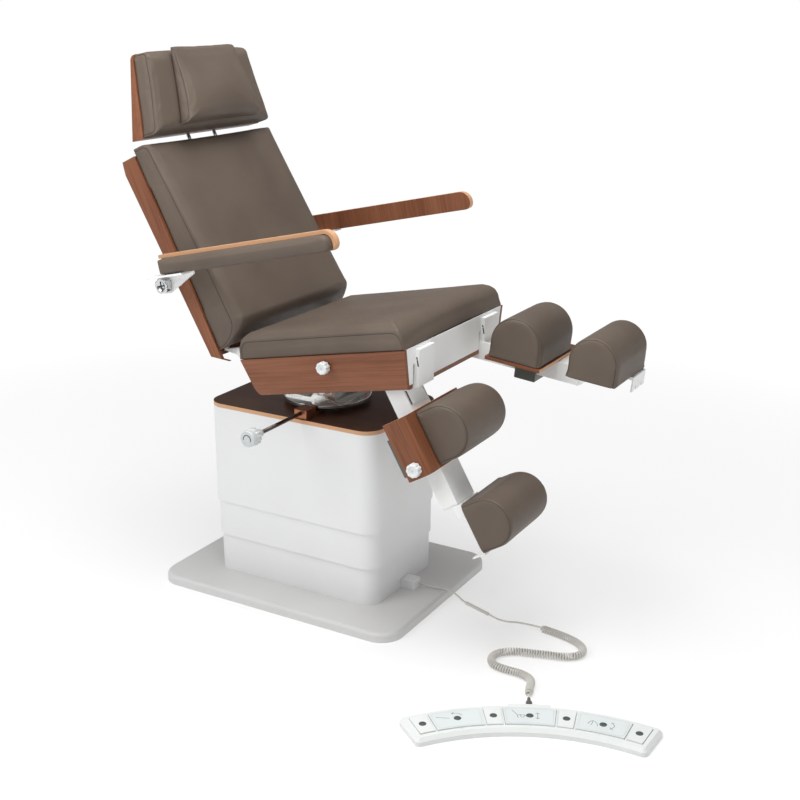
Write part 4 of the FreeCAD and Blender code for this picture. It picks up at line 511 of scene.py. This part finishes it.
def add_mesh(name, points, faces, material, smooth=True):
    mesh = bpy.data.meshes.new(name)
    mesh.from_pydata([tuple(p) for p in points], [], faces)
    mesh.polygons.foreach_set("use_smooth", [smooth] * len(mesh.polygons))
    mesh.materials.append(material)
    mesh.update()
    piece = bpy.data.objects.new(name, mesh)
    bpy.context.scene.collection.objects.link(piece)
    return piece


def evaluated_mesh(piece):
    graph = bpy.context.evaluated_depsgraph_get()
    return bpy.data.meshes.new_from_object(piece.evaluated_get(graph))


def add_lines(name, runs, thick, steps, sides):
    """Open smooth curves through control points, with a round thickness."""
    data = bpy.data.curves.new(name, "CURVE")
    data.dimensions = "3D"
    data.resolution_u = steps
    data.bevel_depth = thick / 2
    data.bevel_resolution = sides
    for run in runs:
        spline = data.splines.new("NURBS")
        spline.points.add(len(run) - 1)
        for held, point in zip(spline.points, run):
            held.co = (*point, 1)
        spline.order_u = min(LINE_ORDER, len(run))
        spline.use_endpoint_u = True
    curve = bpy.data.objects.new(name, data)
    bpy.context.scene.collection.objects.link(curve)
    return curve


def make_tubes(name, runs, thick, material):
    """Round threads along lines, as one mesh."""
    curve = add_lines(name + "_line", runs, thick, TUBE_STEPS, TUBE_SIDES)
    curve.data.use_fill_caps = True
    bpy.context.view_layer.update()
    mesh = evaluated_mesh(curve)
    bpy.data.objects.remove(curve)
    mesh.name = name
    mesh.materials.clear()
    mesh.materials.append(material)
    mesh.polygons.foreach_set("use_smooth", [True] * len(mesh.polygons))
    piece = bpy.data.objects.new(name, mesh)
    bpy.context.scene.collection.objects.link(piece)
    return piece


TURN_STEPS = 144


def turned(name, profile, material, lobes=0, depth=0.0):
    """A solid turned about its own +Y; the profile holds (radius, along, share of the lobes' depth)."""
    points = []
    for radius, along, share in profile:
        for i in range(TURN_STEPS):
            angle = 2 * math.pi * i / TURN_STEPS
            wave = (0.5 - 0.5 * math.cos(lobes * angle)) ** 2 if lobes else 0
            r = radius * (1 - depth * share * wave)
            points.append((r * math.sin(angle), along, r * math.cos(angle)))
    faces = []
    for k in range(len(profile) - 1):
        for i in range(TURN_STEPS):
            j = (i + 1) % TURN_STEPS
            faces.append((k * TURN_STEPS + i, k * TURN_STEPS + j, (k + 1) * TURN_STEPS + j,
                          (k + 1) * TURN_STEPS + i))
    faces.append(tuple(reversed(range(TURN_STEPS))))
    last = (len(profile) - 1) * TURN_STEPS
    faces.append(tuple(range(last, last + TURN_STEPS)))
    return add_mesh(name, points, faces, material)


def in_metres(profile, start=0):
    """A profile given in millimetres, moved along its axis."""
    return [(radius * MM, (start + along) * MM, share) for radius, along, share in profile]


# A knob's flare as shares of its radius and length, its rounded rim and the dish in its face
KNOB_FLARE = ((0.8, 0), (0.97, 0.05), (1, 0.14))
RIM_ROUND = 4 * MM
RIM_STEPS = 6
DISH_SHARE = 0.6
DISH_DEPTH = 1.6 * MM


def knob_profile(radius, long):
    """A knob's outline from its root to the middle of its face; its lobes fade out over the rim."""
    profile = [(radius * wide, long * along, 1) for wide, along in KNOB_FLARE]
    for i in range(RIM_STEPS + 1):
        angle = math.radians(90 * i / RIM_STEPS)
        profile.append((radius - RIM_ROUND * (1 - math.cos(angle)), long - RIM_ROUND * (1 - math.sin(angle)),
                        1 - i / (2 * RIM_STEPS)))
    dish = radius * DISH_SHARE
    profile.append((dish + 1.2 * MM, long, 0.2))
    profile.append((dish, long - 0.3 * DISH_DEPTH, 0))
    profile.append((dish - 0.8 * MM, long - DISH_DEPTH, 0))
    profile.append((0.6 * MM, long - DISH_DEPTH, 0))
    return profile


def outward(place, spot, sign):
    """A frame at a knob's root whose +Y points away from the chair."""
    facing = Matrix.Rotation(0 if sign > 0 else math.pi, 4, "Z")
    return place @ Matrix.Translation([v * MM for v in spot]) @ facing


KnobStyle = namedtuple("KnobStyle", "long lobes lobe_depth material slot cross_share cross_material")
# A knob's cross material is painted shade of its cross recess
WHITE_KNOB = KnobStyle(22, 9, 0.12, KNOB_WHITE, "knob_black", 0.12, MARK_PALE)
CHROME_KNOB = KnobStyle(24, 5, 0.14, CHROME, "chrome", 0.26, SLOT_PAINTED_SHADE)
# For each knob: body, frame, sign across the chair, root, diameter and style
KNOBS = {
    "seat_knob_right": ("seat_knob", SEAT, -1, (-171, -297.4, 41), 36, WHITE_KNOB),
    "calf_knob_right": ("calf_clamp_right", LEG["right"], -1, (259, -322.3, -3), 40, WHITE_KNOB),
    "calf_knob_left": ("calf_clamp_left", LEG["left"], 1, (301, 322.3, -3), 40, WHITE_KNOB),
    "arm_knob_right": ("arm_clamp_right", ARM, -1, (0, -361.3, 0), 48, CHROME_KNOB),
    "arm_knob_left": ("arm_clamp_left", ARM, 1, (0, 361.3, 0), 48, CHROME_KNOB),
}
CROSS_HALF_SHARE = 0.16
CROSS_BELOW = 1.1 * MM
CROSS_DEEP = 2 * MM


def fix_to(piece, place, body, node=None):
    piece.matrix_world = place
    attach(piece, body)
    if node:
        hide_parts(node)


def make_knobs():
    for node, (body, place, sign, spot, wide, style) in KNOBS.items():
        root = outward(place, spot, sign)
        profile = knob_profile(wide / 2 * MM, style.long * MM)
        head = turned(node + "_head", profile, style.material, style.lobes, style.lobe_depth)
        fix_to(head, root, body, node)
        reach = wide * style.cross_share * MM
        cross = make_cross(node + "_cross", reach, style.long * MM, style.cross_material)
        fix_to(cross, root, body)


def make_cross(name, reach, long, material):
    """The cross recess in a knob's face, as two crossed bars that end a little below the face; their darker
    colour is painted shade of the recess.
    """
    half = reach * CROSS_HALF_SHARE
    top = long - CROSS_BELOW
    points, faces = [], []
    for a, b in ((reach, half), (half, reach)):
        base = len(points)
        for y in (top - CROSS_DEEP, top):
            points.extend([(-a, y, -b), (a, y, -b), (a, y, b), (-a, y, b)])
        faces.extend([tuple(base + i for i in face) for face in BOX_FACES])
    return add_mesh(name, points, faces, material, False)


LOCK_AXIS = (45, -388, 603)
LOCK_ROD_START = -162
# Profiles of the lever's rod, neck and knob, in millimetres from its root; the knob starts further out
LOCK_ROD = ((5.9, LOCK_AXIS[1] - LOCK_ROD_START, 0), (5.9, 0.5, 0))
LOCK_NECK = ((8, 0, 0), (11, 1.5, 0), (11, 24, 0), (13, 27.4, 0))
LOCK_KNOB_START = 27
LOCK_KNOB = (
    (19, 0, 1), (24.6, 1.2, 1), (26, 3.4, 1), (26, 15, 1), (25.4, 17.2, 1), (23.6, 18, 0.4),
    (22.8, 19.4, 0.2), (23.4, 21, 0.2), (24, 23, 0), (24, 34.6, 0), (23.2, 37, 0), (21, 38, 0),
    (19.6, 38, 0), (18.8, 37.2, 0), (18, 37.2, 0), (17.2, 38, 0), (1, 38, 0),
)
LOCK_RIBS = 14
LOCK_RIB_DEPTH = 0.1
LOCK_ARC_RADIUS = 12.5 * MM
LOCK_ARC_PLACE = 65 * MM
LOCK_ARC_THICK = 2.6 * MM
LOCK_ARC_DEGREES = range(-10, 201, 15)


def make_lock():
    """The lever that clamps the swivel: a dark rod, a neck and a ribbed silver knob with an arc on it."""
    place = outward(Matrix.Identity(4), LOCK_AXIS, -1)
    rod = turned("lock_rod", in_metres(LOCK_ROD), ROD_STEEL)
    fix_to(rod, place, "lock", "lock_lever")
    neck = turned("lock_neck", in_metres(LOCK_NECK), KNOB_SILVER)
    fix_to(neck, place, "lock")
    profile = in_metres(LOCK_KNOB, LOCK_KNOB_START)
    fix_to(turned("lock_knob", profile, KNOB_SILVER, LOCK_RIBS, LOCK_RIB_DEPTH), place, "lock")
    angles = [math.radians(v) for v in LOCK_ARC_DEGREES]
    arc = [(LOCK_ARC_RADIUS * math.cos(a), LOCK_ARC_PLACE, LOCK_ARC_RADIUS * math.sin(a)) for a in angles]
    fix_to(make_tubes("lock_arc", [arc], LOCK_ARC_THICK, MARK_DARK), place, "lock")


# Foot control: a dark dot on each button, and faint outlines and pictograms on the rockers

CONTROL_CENTRE = (1210.13, -1059.58)
CONTROL_RADIUS = 646
CONTROL_TURN = 25.6
BUTTON_PITCH = 8.25
BUTTON_TOP = 24.5
BUTTONS = {"rocker_left": -2, "rocker_middle": 0, "rocker_right": 2, "key_one": -3, "key_two": -1,
           "key_three": 1, "key_four": 3}
# The dot's profile and the drawings in millimetres; a drawing holds lines along and across the control's arc
DOT = ((9.2, -0.6, 0), (9.6, 0.2, 0), (9, 0.8, 0), (0.5, 0.9, 0))
PICTURES = {
    "rocker_left": [[(-52, 16), (-42, 12), (-30, 7), (-20, 4)], [(-10, 24), (0, 24), (9, 20), (15, 12)],
                    [(-10, 24), (-4, 27.5)], [(-10, 24), (-5, 20)]],
    "rocker_middle": [[(-44, 24), (-38, 14), (-31, 2), (-30, -12)], [(-31, 2), (-22, 3), (-12, 2), (-7, -6)],
                      [(-24, 1), (-24, -9), (-14, -9), (-13, 1)], [(20, -14), (20, 14)],
                      [(15, 9), (20, 15), (25, 9)], [(15, -9), (20, -15), (25, -9)]],
    "rocker_right": [[(-38, -8), (-34, 6), (-24, 10), (-14, -2), (-12, -12)],
                     [(-28, 9), (-26, -4), (-30, -12)], [(18, 14), (27, 9), (29, -2), (22, -13)],
                     [(18, 14), (24, 16)], [(22, -13), (20, -6)], [(22, -13), (28, -14)]],
}
PICTURE_HEIGHT, PICTURE_THICK = -0.2, 1.3 * MM
OUTLINE_HEIGHT, OUTLINE_THICK = -0.35, 1.4 * MM
OUTLINE_HALF_LONG, OUTLINE_HALF_WIDE = 60, 33
OUTLINE_CORNER = 8
OUTLINE_STEP = 6


def button_place(steps):
    turn = math.radians(CONTROL_TURN - steps * BUTTON_PITCH)
    centre = Matrix.Translation((CONTROL_CENTRE[0] * MM, CONTROL_CENTRE[1] * MM, BUTTON_TOP * MM))
    return centre @ Matrix.Rotation(turn, 4, "Z") @ Matrix.Translation((0, CONTROL_RADIUS * MM, 0))


def rounded_frame(half_long, half_wide, corner, steps=6):
    """A closed flat outline with round corners."""
    line = []
    for cx, cy, start in ((1, 1, 0), (-1, 1, 90), (-1, -1, 180), (1, -1, 270)):
        for i in range(steps + 1):
            angle = math.radians(start + 90 * i / steps)
            line.append((cx * (half_long - corner) + corner * math.cos(angle),
                         cy * (half_wide - corner) + corner * math.sin(angle)))
    line.append(line[0])
    return line


def on_arc(line, height):
    """A line along and across the control, bent to its arc and set at a height."""
    points = []
    for u, v in line:
        angle = u / CONTROL_RADIUS
        r = CONTROL_RADIUS + v
        points.append((r * math.sin(angle) * MM, (r * math.cos(angle) - CONTROL_RADIUS) * MM, height * MM))
    return points


def make_marks():
    outline = rounded_frame(OUTLINE_HALF_LONG, OUTLINE_HALF_WIDE, OUTLINE_CORNER)
    outline = on_arc(densified(outline, OUTLINE_STEP), OUTLINE_HEIGHT)
    for node, steps in BUTTONS.items():
        place = button_place(steps)
        body = node + "_body"
        dot = turned(node + "_dot", in_metres(DOT), MARK_DARK)
        fix_to(dot, place @ Matrix.Rotation(math.radians(90), 4, "X"), body)
        if node in PICTURES:
            lines = [on_arc(line, PICTURE_HEIGHT) for line in PICTURES[node]]
            picture = make_tubes(node + "_picture", lines, PICTURE_THICK, MARK_DARK)
            fix_to(picture, place, body)
            rim = make_tubes(node + "_outline", [outline], OUTLINE_THICK, MARK_PALE)
            fix_to(rim, place, body)


# Leg brackets: a slot and a notch on the face of each one, in the seat's frame; they are thin dark plates,
# painted shade of the openings

BRACKET_OUT = 198
BRACKET_FACE = -43.3
# For each opening: its middle along and up the bracket, and its length
OPENINGS = {"slot": (92, 26, 18), "notch": (92, 40, 7)}
OPENING_HALF = 2
OPENING_DEEP = 1.5


def make_slots():
    for side, sign in SIDES.items():
        outer = sign * BRACKET_OUT + BRACKET_FACE
        for name, (x, z, long) in OPENINGS.items():
            points = []
            for y in (outer, outer + OPENING_DEEP):
                points.extend([(x - OPENING_HALF, y, z - long / 2), (x + OPENING_HALF, y, z - long / 2),
                               (x + OPENING_HALF, y, z + long / 2), (x - OPENING_HALF, y, z + long / 2)])
            points = [[v * MM for v in p] for p in points]
            piece = add_mesh("bracket_%s_%s" % (name, side), points, BOX_FACES, SLOT_PAINTED_SHADE, False)
            fix_to(piece, SEAT, "seat")


# Cords: a short lead to a coupler on the floor, and a curly cord on to the foot control

LEAD_ROUTE = [
    (0.338, 0.006, 0.041), (0.354, 0.006, 0.041), (0.374, 0.009, 0.0395), (0.394, 0.015, 0.037),
    (0.414, 0.021, 0.0355), (0.434, 0.026, 0.0325), (0.450, 0.0295, 0.025), (0.463, 0.0315, 0.0145),
    (0.4769, 0.0293, 0.007), (0.492, 0.024, 0.0052),
]
CURLY_ROUTE = [
    (0.584, -0.008, 0.0052), (0.600, -0.0136, 0.0052), (0.618, -0.0185, 0.0038), (0.640, -0.0195, 0.003),
    (0.662, -0.014, 0.003), (0.680, -0.004, 0.003), (0.697, 0.002, 0.005), (0.716, 0.000, 0.009),
    (0.738, -0.009, 0.0116), (0.767, -0.020, 0.0116), (0.806, -0.024, 0.0116), (0.850, -0.032, 0.0116),
    (0.894, -0.049, 0.0116), (0.919, -0.080, 0.0116), (0.916, -0.114, 0.0116), (0.883, -0.139, 0.0116),
    (0.826, -0.154, 0.0116), (0.790, -0.167, 0.0116), (0.753, -0.177, 0.0116), (0.712, -0.207, 0.0116),
    (0.707, -0.249, 0.0116), (0.731, -0.279, 0.0116), (0.776, -0.283, 0.0116), (0.815, -0.279, 0.0116),
    (0.856, -0.295, 0.0116), (0.868, -0.340, 0.0116), (0.8792, -0.3688, 0.0116), (0.8872, -0.3856, 0.0116),
]
CORD_DIAMETER = 5 * MM
CURL_COUNT = 96
CURL_POINTS = 16
CURL_RADIUS = 9 * MM
CURL_RAMP = 20 * MM
CURL_START_SHARE = 173.8 / 916.2
CURL_END_SHARE = 905.7 / 916.2
STRAIGHT_POINTS = 6
LEAD_STEPS, LEAD_SIDES = 8, 4
CURLY_STEPS, CURLY_SIDES = 2, 3
ROUTE_STEPS = 40


def read_line(points):
    """Points along the smooth line that a route's control points make."""
    line = add_lines("route", [points], 0, ROUTE_STEPS, 0)
    bpy.context.view_layer.update()
    spots = vertex_array(evaluated_mesh(line))
    bpy.data.objects.remove(line)
    return spots


def curl_distance(wound, start, end):
    """How far along the route a share of the turning has come; the turns start and end slowly."""
    full = end - start - CURL_RAMP
    if wound < CURL_RAMP / 2:
        return start + math.sqrt(2 * CURL_RAMP * wound)
    if full - wound < CURL_RAMP / 2:
        return end - math.sqrt(2 * CURL_RAMP * max(0, full - wound))
    return start + CURL_RAMP / 2 + wound


def curly_points():
    """The cord's control points: the route's own at first, then the helix round it."""
    spots = read_line(CURLY_ROUTE)
    steps = np.linalg.norm(np.diff(spots, axis=0), axis=1)
    travelled = np.concatenate([[0], np.cumsum(steps)])
    total = travelled[-1]
    start, end = CURL_START_SHARE * total, CURL_END_SHARE * total
    full = end - start - CURL_RAMP

    def route_spot(distance):
        return Vector([np.interp(distance, travelled, spots[:, k]) for k in range(3)])

    points = [Vector(p) for p in CURLY_ROUTE[:STRAIGHT_POINTS]]
    # A smooth line runs a little inside its control points, so they stand this much further out
    drawn_in = (3 + math.cos(2 * math.pi / CURL_POINTS)) / 4
    for i in range(CURL_COUNT * CURL_POINTS + 1):
        wound = full * i / (CURL_COUNT * CURL_POINTS)
        distance = curl_distance(wound, start, end)
        along = (route_spot(distance + MM) - route_spot(distance - MM)).normalized()
        across = Vector((0, 0, 1)).cross(along).normalized()
        rise = along.cross(across)
        ease = max(0, min(1, (distance - start) / CURL_RAMP, (end - distance) / CURL_RAMP))
        radius = CURL_RADIUS / drawn_in * ease * ease
        turn = 2 * math.pi * CURL_COUNT * wound / full
        points.append(route_spot(distance) + (across * math.sin(turn) + rise * math.cos(turn)) * radius)
    points.append(Vector(CURLY_ROUTE[-1]))
    return points


def make_cords():
    lead = add_lines("lead_cord", [LEAD_ROUTE], CORD_DIAMETER, LEAD_STEPS, LEAD_SIDES)
    lead.data.materials.append(CORD_BEIGE)
    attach(lead, "base")
    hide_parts("control_lead")
    curly = add_lines("spiral_cord", [curly_points()], CORD_DIAMETER, CURLY_STEPS, CURLY_SIDES)
    curly.data.materials.append(CORD_BEIGE)
    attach(curly, "base")
    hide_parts("curly_cord")


# Upholstery: each cushion starts as a slightly smaller solid and is inflated as a cloth cover

SHRINK = 2 * MM
PRESSURE = 4.0
CLOTH_FRAMES = 16
CLOTH_QUALITY = 4
GLUED_LIMIT = 0.75
HOLD_REACH = 16 * MM
HELD_SHARE = 0.05
LEAST_TRAVEL = 1e-9
SMOOTH_ROUNDS = 8
SMOOTH_FACTOR = 0.5
WELD_DISTANCE = 0.01 * MM
GROOVE_DEPTH = 1.1 * MM
GROOVE_WIDTH = 3.2 * MM
SEAM_THICK = 1.4 * MM
# Share of the groove's depth at which its thread lies
SEAM_SUNK = 0.75


def rounded_path(a0, a1, floor, top, first_round, last_round, steps=14):
    """An open arch from the floor up, over two rounded corners and down again, as (a, b) pairs."""
    path = [(a0, floor)]
    for centre, radius, turn in ((a0 + first_round, first_round, 180), (a1 - last_round, last_round, 90)):
        for i in range(steps + 1):
            angle = math.radians(turn - 90 * i / steps)
            path.append((centre + radius * math.cos(angle), top - radius + radius * math.sin(angle)))
    path.append((a1, floor))
    return densified(path)


def densified(path, step=4 * MM):
    """The same path with points at most a step apart."""
    points = []
    for (a, b), (c, d) in zip(path, path[1:]):
        count = max(1, int(math.hypot(c - a, d - b) / step))
        points.extend((a + (c - a) * i / count, b + (d - b) * i / count) for i in range(count))
    return points + [path[-1]]


# For each seam: its ends, heights and corner rounds on the cushion's side, and if it runs up the section
SEAMS = {
    "seat_cushion": ((-452, 86), (76, 118), (24, 34), False),
    "back_cushion": ((34, 640), (-60, 4), (30, 22), True),
    "head_cushion": ((6, 228), (-10, 34), (16, 16), True),
    "head_pillow": ((22, 230), (56, 88), (16, 16), True),
}
# The squares of a cover and its longest travel are in millimetres; glued is the way its glued side faces
Cushion = namedtuple("Cushion", "body place square cap fill glued")
CUSHIONS = {
    "seat_cushion": Cushion("seat", SEAT, 5, 3.0, 0.9, (0, 0, -1)),
    "back_cushion": Cushion("backrest", BACK, 5, 3.0, 0.9, (-1, 0, 0)),
    "head_cushion": Cushion("headrest", HEAD, 4, 3.0, 0.85, (-1, 0, 0)),
    "head_pillow": Cushion("headrest", HEAD, 4, 3.5, 0.75, (-1, 0, 0)),
}
# How far each calf cushion is drawn out along its leg
CALF_OUT = {"right": 0, "left": 42}
for side_name, side_sign in SIDES.items():
    leg = LEG[side_name]
    CUSHIONS["calf_cushion_" + side_name] = Cushion("calf_" + side_name, leg, 4, 2.4, 0.9, (0, 0, -1))
    CUSHIONS["foot_cushion_" + side_name] = Cushion("foot_" + side_name, leg, 4, 2.4, 0.9, (0, 0, -1))
    CUSHIONS["arm_pad_" + side_name] = Cushion("arm_" + side_name, ARM, 3, 2.2, 0.9, (0, -side_sign, 0))
    out = CALF_OUT[side_name]
    SEAMS["calf_cushion_" + side_name] = ((129 + out, 275 + out), (32, 154), (72, 72), False)
    SEAMS["foot_cushion_" + side_name] = ((410, 543), (33, 152), (66, 66), False)


def local_copy(node, place):
    """The node's solid as one closed mesh in its section's frame."""
    mesh = NODES[node].data.copy()
    shape = bmesh.new()
    shape.from_mesh(mesh)
    bmesh.ops.remove_doubles(shape, verts=shape.verts, dist=WELD_DISTANCE)
    shape.transform(place.inverted())
    shape.to_mesh(mesh)
    shape.free()
    return mesh


def vertex_array(mesh):
    spots = np.empty(len(mesh.vertices) * 3)
    mesh.vertices.foreach_get("co", spots)
    return spots.reshape(-1, 3)


def move_vertices(mesh, spots):
    mesh.vertices.foreach_set("co", spots.ravel())
    mesh.update()


def normal_array(mesh):
    return np.array([v.normal for v in mesh.vertices])


def seam_line(solid, node, sign):
    """Points of a seam on a cushion's side, found by looking at the side from outside."""
    (a0, a1), (floor, top), (first, last), upright = SEAMS[node]
    arch = rounded_path(a0 * MM, a1 * MM, floor * MM, top * MM, first * MM, last * MM)
    line = []
    for a, b in arch:
        x, z = (b, a) if upright else (a, b)
        start = Vector((x, sign, z))
        hit = solid.ray_cast(start, Vector((0, -sign, 0)))[0]
        if hit:
            line.append(hit)
    return line


# How far a cushion's rear face slopes back and its sides close in, per metre of height
SLOPES = {"back_cushion": (25 / 630, 0), "head_cushion": (0, 0.694), "head_pillow": (0, 0.319)}


def squared(mesh, node, way):
    """Straightens a sloping cushion so that its cover's squares follow its edges, or slopes it again."""
    back, closing = SLOPES.get(node, (0, 0))
    spots = vertex_array(mesh)
    spots[:, 0] += way * back * spots[:, 2]
    spots[:, 1] *= (1 - closing * spots[:, 2]) ** -way
    move_vertices(mesh, spots)


def start_cushion(node):
    """A cover of even squares in the cushion's own frame."""
    cushion = CUSHIONS[node]
    piece = bpy.data.objects.new(node + "_cover", local_copy(node, cushion.place))
    squared(piece.data, node, 1)
    bpy.context.scene.collection.objects.link(piece)
    remesh = piece.modifiers.new("Remesh", "REMESH")
    remesh.mode = "VOXEL"
    remesh.voxel_size = cushion.square * MM
    bpy.context.view_layer.update()
    piece.data = evaluated_mesh(piece)
    piece.modifiers.clear()
    squared(piece.data, node, -1)
    return piece


def nearest_distance(points, spots):
    tree = KDTree(len(points))
    for i, point in enumerate(points):
        tree.insert(point, i)
    tree.balance()
    return np.array([tree.find(spot)[2] for spot in spots])


def slacken(piece, node):
    """Draws the free cover in a little, and keeps the glued side and the foot of the walls in place."""
    spots = vertex_array(piece.data)
    normals = normal_array(piece.data)
    glued = spots[normals @ np.array(CUSHIONS[node].glued) > GLUED_LIMIT]
    free = np.clip(nearest_distance(glued, spots) / HOLD_REACH, 0, 1)
    move_vertices(piece.data, spots - normals * SHRINK * free[:, None])
    held = piece.vertex_groups.new(name="held")
    held.add([i for i, share in enumerate(free) if share < HELD_SHARE], 1.0, "REPLACE")
    loose = piece.vertex_groups.new(name="free")
    for i, share in enumerate(free):
        loose.add([i], share, "REPLACE")


def add_cloth(piece):
    cloth = piece.modifiers.new("Cloth", "CLOTH")
    settings = cloth.settings
    settings.use_pressure = True
    settings.uniform_pressure_force = PRESSURE
    settings.effector_weights.gravity = 0
    settings.quality = CLOTH_QUALITY
    settings.vertex_group_mass = "held"
    cloth.collision_settings.use_collision = False
    cloth.point_cache.frame_start = 1
    cloth.point_cache.frame_end = CLOTH_FRAMES


def inflate(pieces):
    """Steps the cloth of all cushions together, then keeps the result with its travel capped."""
    scene = bpy.context.scene
    for piece in pieces.values():
        add_cloth(piece)
    for step in range(1, CLOTH_FRAMES + 1):
        scene.frame_set(step)
    for node, piece in pieces.items():
        cap = CUSHIONS[node].cap * MM
        spots = vertex_array(piece.data)
        travel = vertex_array(evaluated_mesh(piece)) - spots
        long = np.linalg.norm(travel, axis=1, keepdims=True)
        spots = spots + travel * np.minimum(1, cap / np.maximum(long, LEAST_TRAVEL))
        piece.modifiers.clear()
        move_vertices(piece.data, spots)
    scene.frame_set(1)


def finish_cushion(piece, node):
    """Evens out the cover, draws its seams in, gives it its form and adds their thread."""
    body, place, fill = CUSHIONS[node].body, CUSHIONS[node].place, CUSHIONS[node].fill
    even = piece.modifiers.new("Smooth", "SMOOTH")
    even.factor = SMOOTH_FACTOR
    even.iterations = SMOOTH_ROUNDS
    even.vertex_group = "free"
    divide = piece.modifiers.new("Subdivision", "SUBSURF")
    divide.levels = 1
    divide.render_levels = 1
    bpy.context.view_layer.update()
    piece.data = evaluated_mesh(piece)
    piece.modifiers.clear()
    piece.vertex_groups.clear()
    mesh = piece.data
    mesh.polygons.foreach_set("use_smooth", [True] * len(mesh.polygons))
    if node in SEAMS:
        draw_seams(piece, node)
    if node in FORMS:
        reform(piece, node)
    mesh.materials.clear()
    mesh.materials.append(LEATHER)
    piece.matrix_world = place
    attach(piece, body)
    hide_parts(node)


def draw_seams(piece, node):
    """Sinks a groove along each side's seam and lays a thread in it."""
    mesh = piece.data
    solid = BVHTree.FromPolygons([v.co for v in mesh.vertices], [p.vertices for p in mesh.polygons])
    lines = {sign: seam_line(solid, node, sign) for sign in (-1, 1)}
    spots = vertex_array(mesh)
    away = nearest_distance([p for line in lines.values() for p in line], spots)
    pull = GROOVE_DEPTH * np.exp(-(away / GROOVE_WIDTH) ** 2)
    move_vertices(mesh, spots - normal_array(mesh) * pull[:, None])
    runs = []
    for sign, line in lines.items():
        runs.append([(p.x, p.y - sign * GROOVE_DEPTH * SEAM_SUNK, p.z) for p in line])
    seams = make_tubes(node + "_seams", runs, SEAM_THICK, SEAM_LEATHER)
    seams.parent = piece


# The back cushion's front leans further than its shell: below the middle each millimetre of height adds
# this much thickness, and above it takes as much away
BACK_WEDGE = 0.13
BACK_WEDGE_MIDDLE = 440 * MM
BACK_REAR, BACK_FRONT = -44 * MM, 20 * MM
# Its lowest part keeps the solid's form, which leaves room for the seat cushion when the back is upright
BACK_FOOT, BACK_FULL = 24 * MM, 95 * MM
# The pillow is thin at its top, full at its foot and narrows upward
PILLOW_REAR = 54.3 * MM
PILLOW_FOOT, PILLOW_BELLY, PILLOW_TOP = 14 * MM, 70 * MM, 238 * MM
PILLOW_FULL, PILLOW_THIN = 0.86, 0.34
PILLOW_WIDE, PILLOW_NARROW = 1.07, 0.91
# The seat cushion's top stands a little higher than its solid
SEAT_FOOT, SEAT_TOP = 74 * MM, 138 * MM
SEAT_RISE = 7 * MM


def way_along(values, start, end):
    """0 at the start, 1 at the end and even between them."""
    return np.clip((values - start) / (end - start), 0, 1)


def soft_way_along(values, start, end):
    """The same with a slow start and end."""
    share = way_along(values, start, end)
    return share * share * (3 - 2 * share)


def back_form(spots):
    """Shears the front of the back cushion and leaves its rear where it meets the shell."""
    share = way_along(spots[:, 0], BACK_REAR, BACK_FRONT) * soft_way_along(spots[:, 2], BACK_FOOT, BACK_FULL)
    spots[:, 0] += share * BACK_WEDGE * (BACK_WEDGE_MIDDLE - spots[:, 2])


def pillow_form(spots):
    """Thins the pillow toward its top and tapers it."""
    thin = soft_way_along(spots[:, 2], PILLOW_BELLY, PILLOW_TOP)
    thick = PILLOW_FULL + (PILLOW_THIN - PILLOW_FULL) * thin
    narrow = way_along(spots[:, 2], PILLOW_FOOT, PILLOW_TOP)
    spots[:, 0] = PILLOW_REAR + (spots[:, 0] - PILLOW_REAR) * thick
    spots[:, 1] *= PILLOW_WIDE + (PILLOW_NARROW - PILLOW_WIDE) * narrow


def seat_form(spots):
    """Lifts the top of the seat cushion."""
    spots[:, 2] += SEAT_RISE * way_along(spots[:, 2], SEAT_FOOT, SEAT_TOP)


FORMS = {"back_cushion": back_form, "head_pillow": pillow_form, "seat_cushion": seat_form}


def reform(piece, node):
    """Gives a finished cover and its seams the cushion's photographed form."""
    for part in [piece, *piece.children]:
        spots = vertex_array(part.data)
        FORMS[node](spots)
        move_vertices(part.data, spots)


def make_cushions():
    pieces = {}
    for node in CUSHIONS:
        pieces[node] = start_cushion(node)
        slacken(pieces[node], node)
    inflate(pieces)
    for node, piece in pieces.items():
        finish_cushion(piece, node)


scene = bpy.context.scene
scene.view_settings.view_transform = "Standard"
make_camera()
make_light()
make_floor()
make_cords()
dress_frame()
make_knobs()
make_lock()
make_marks()
make_slots()
make_cushions()
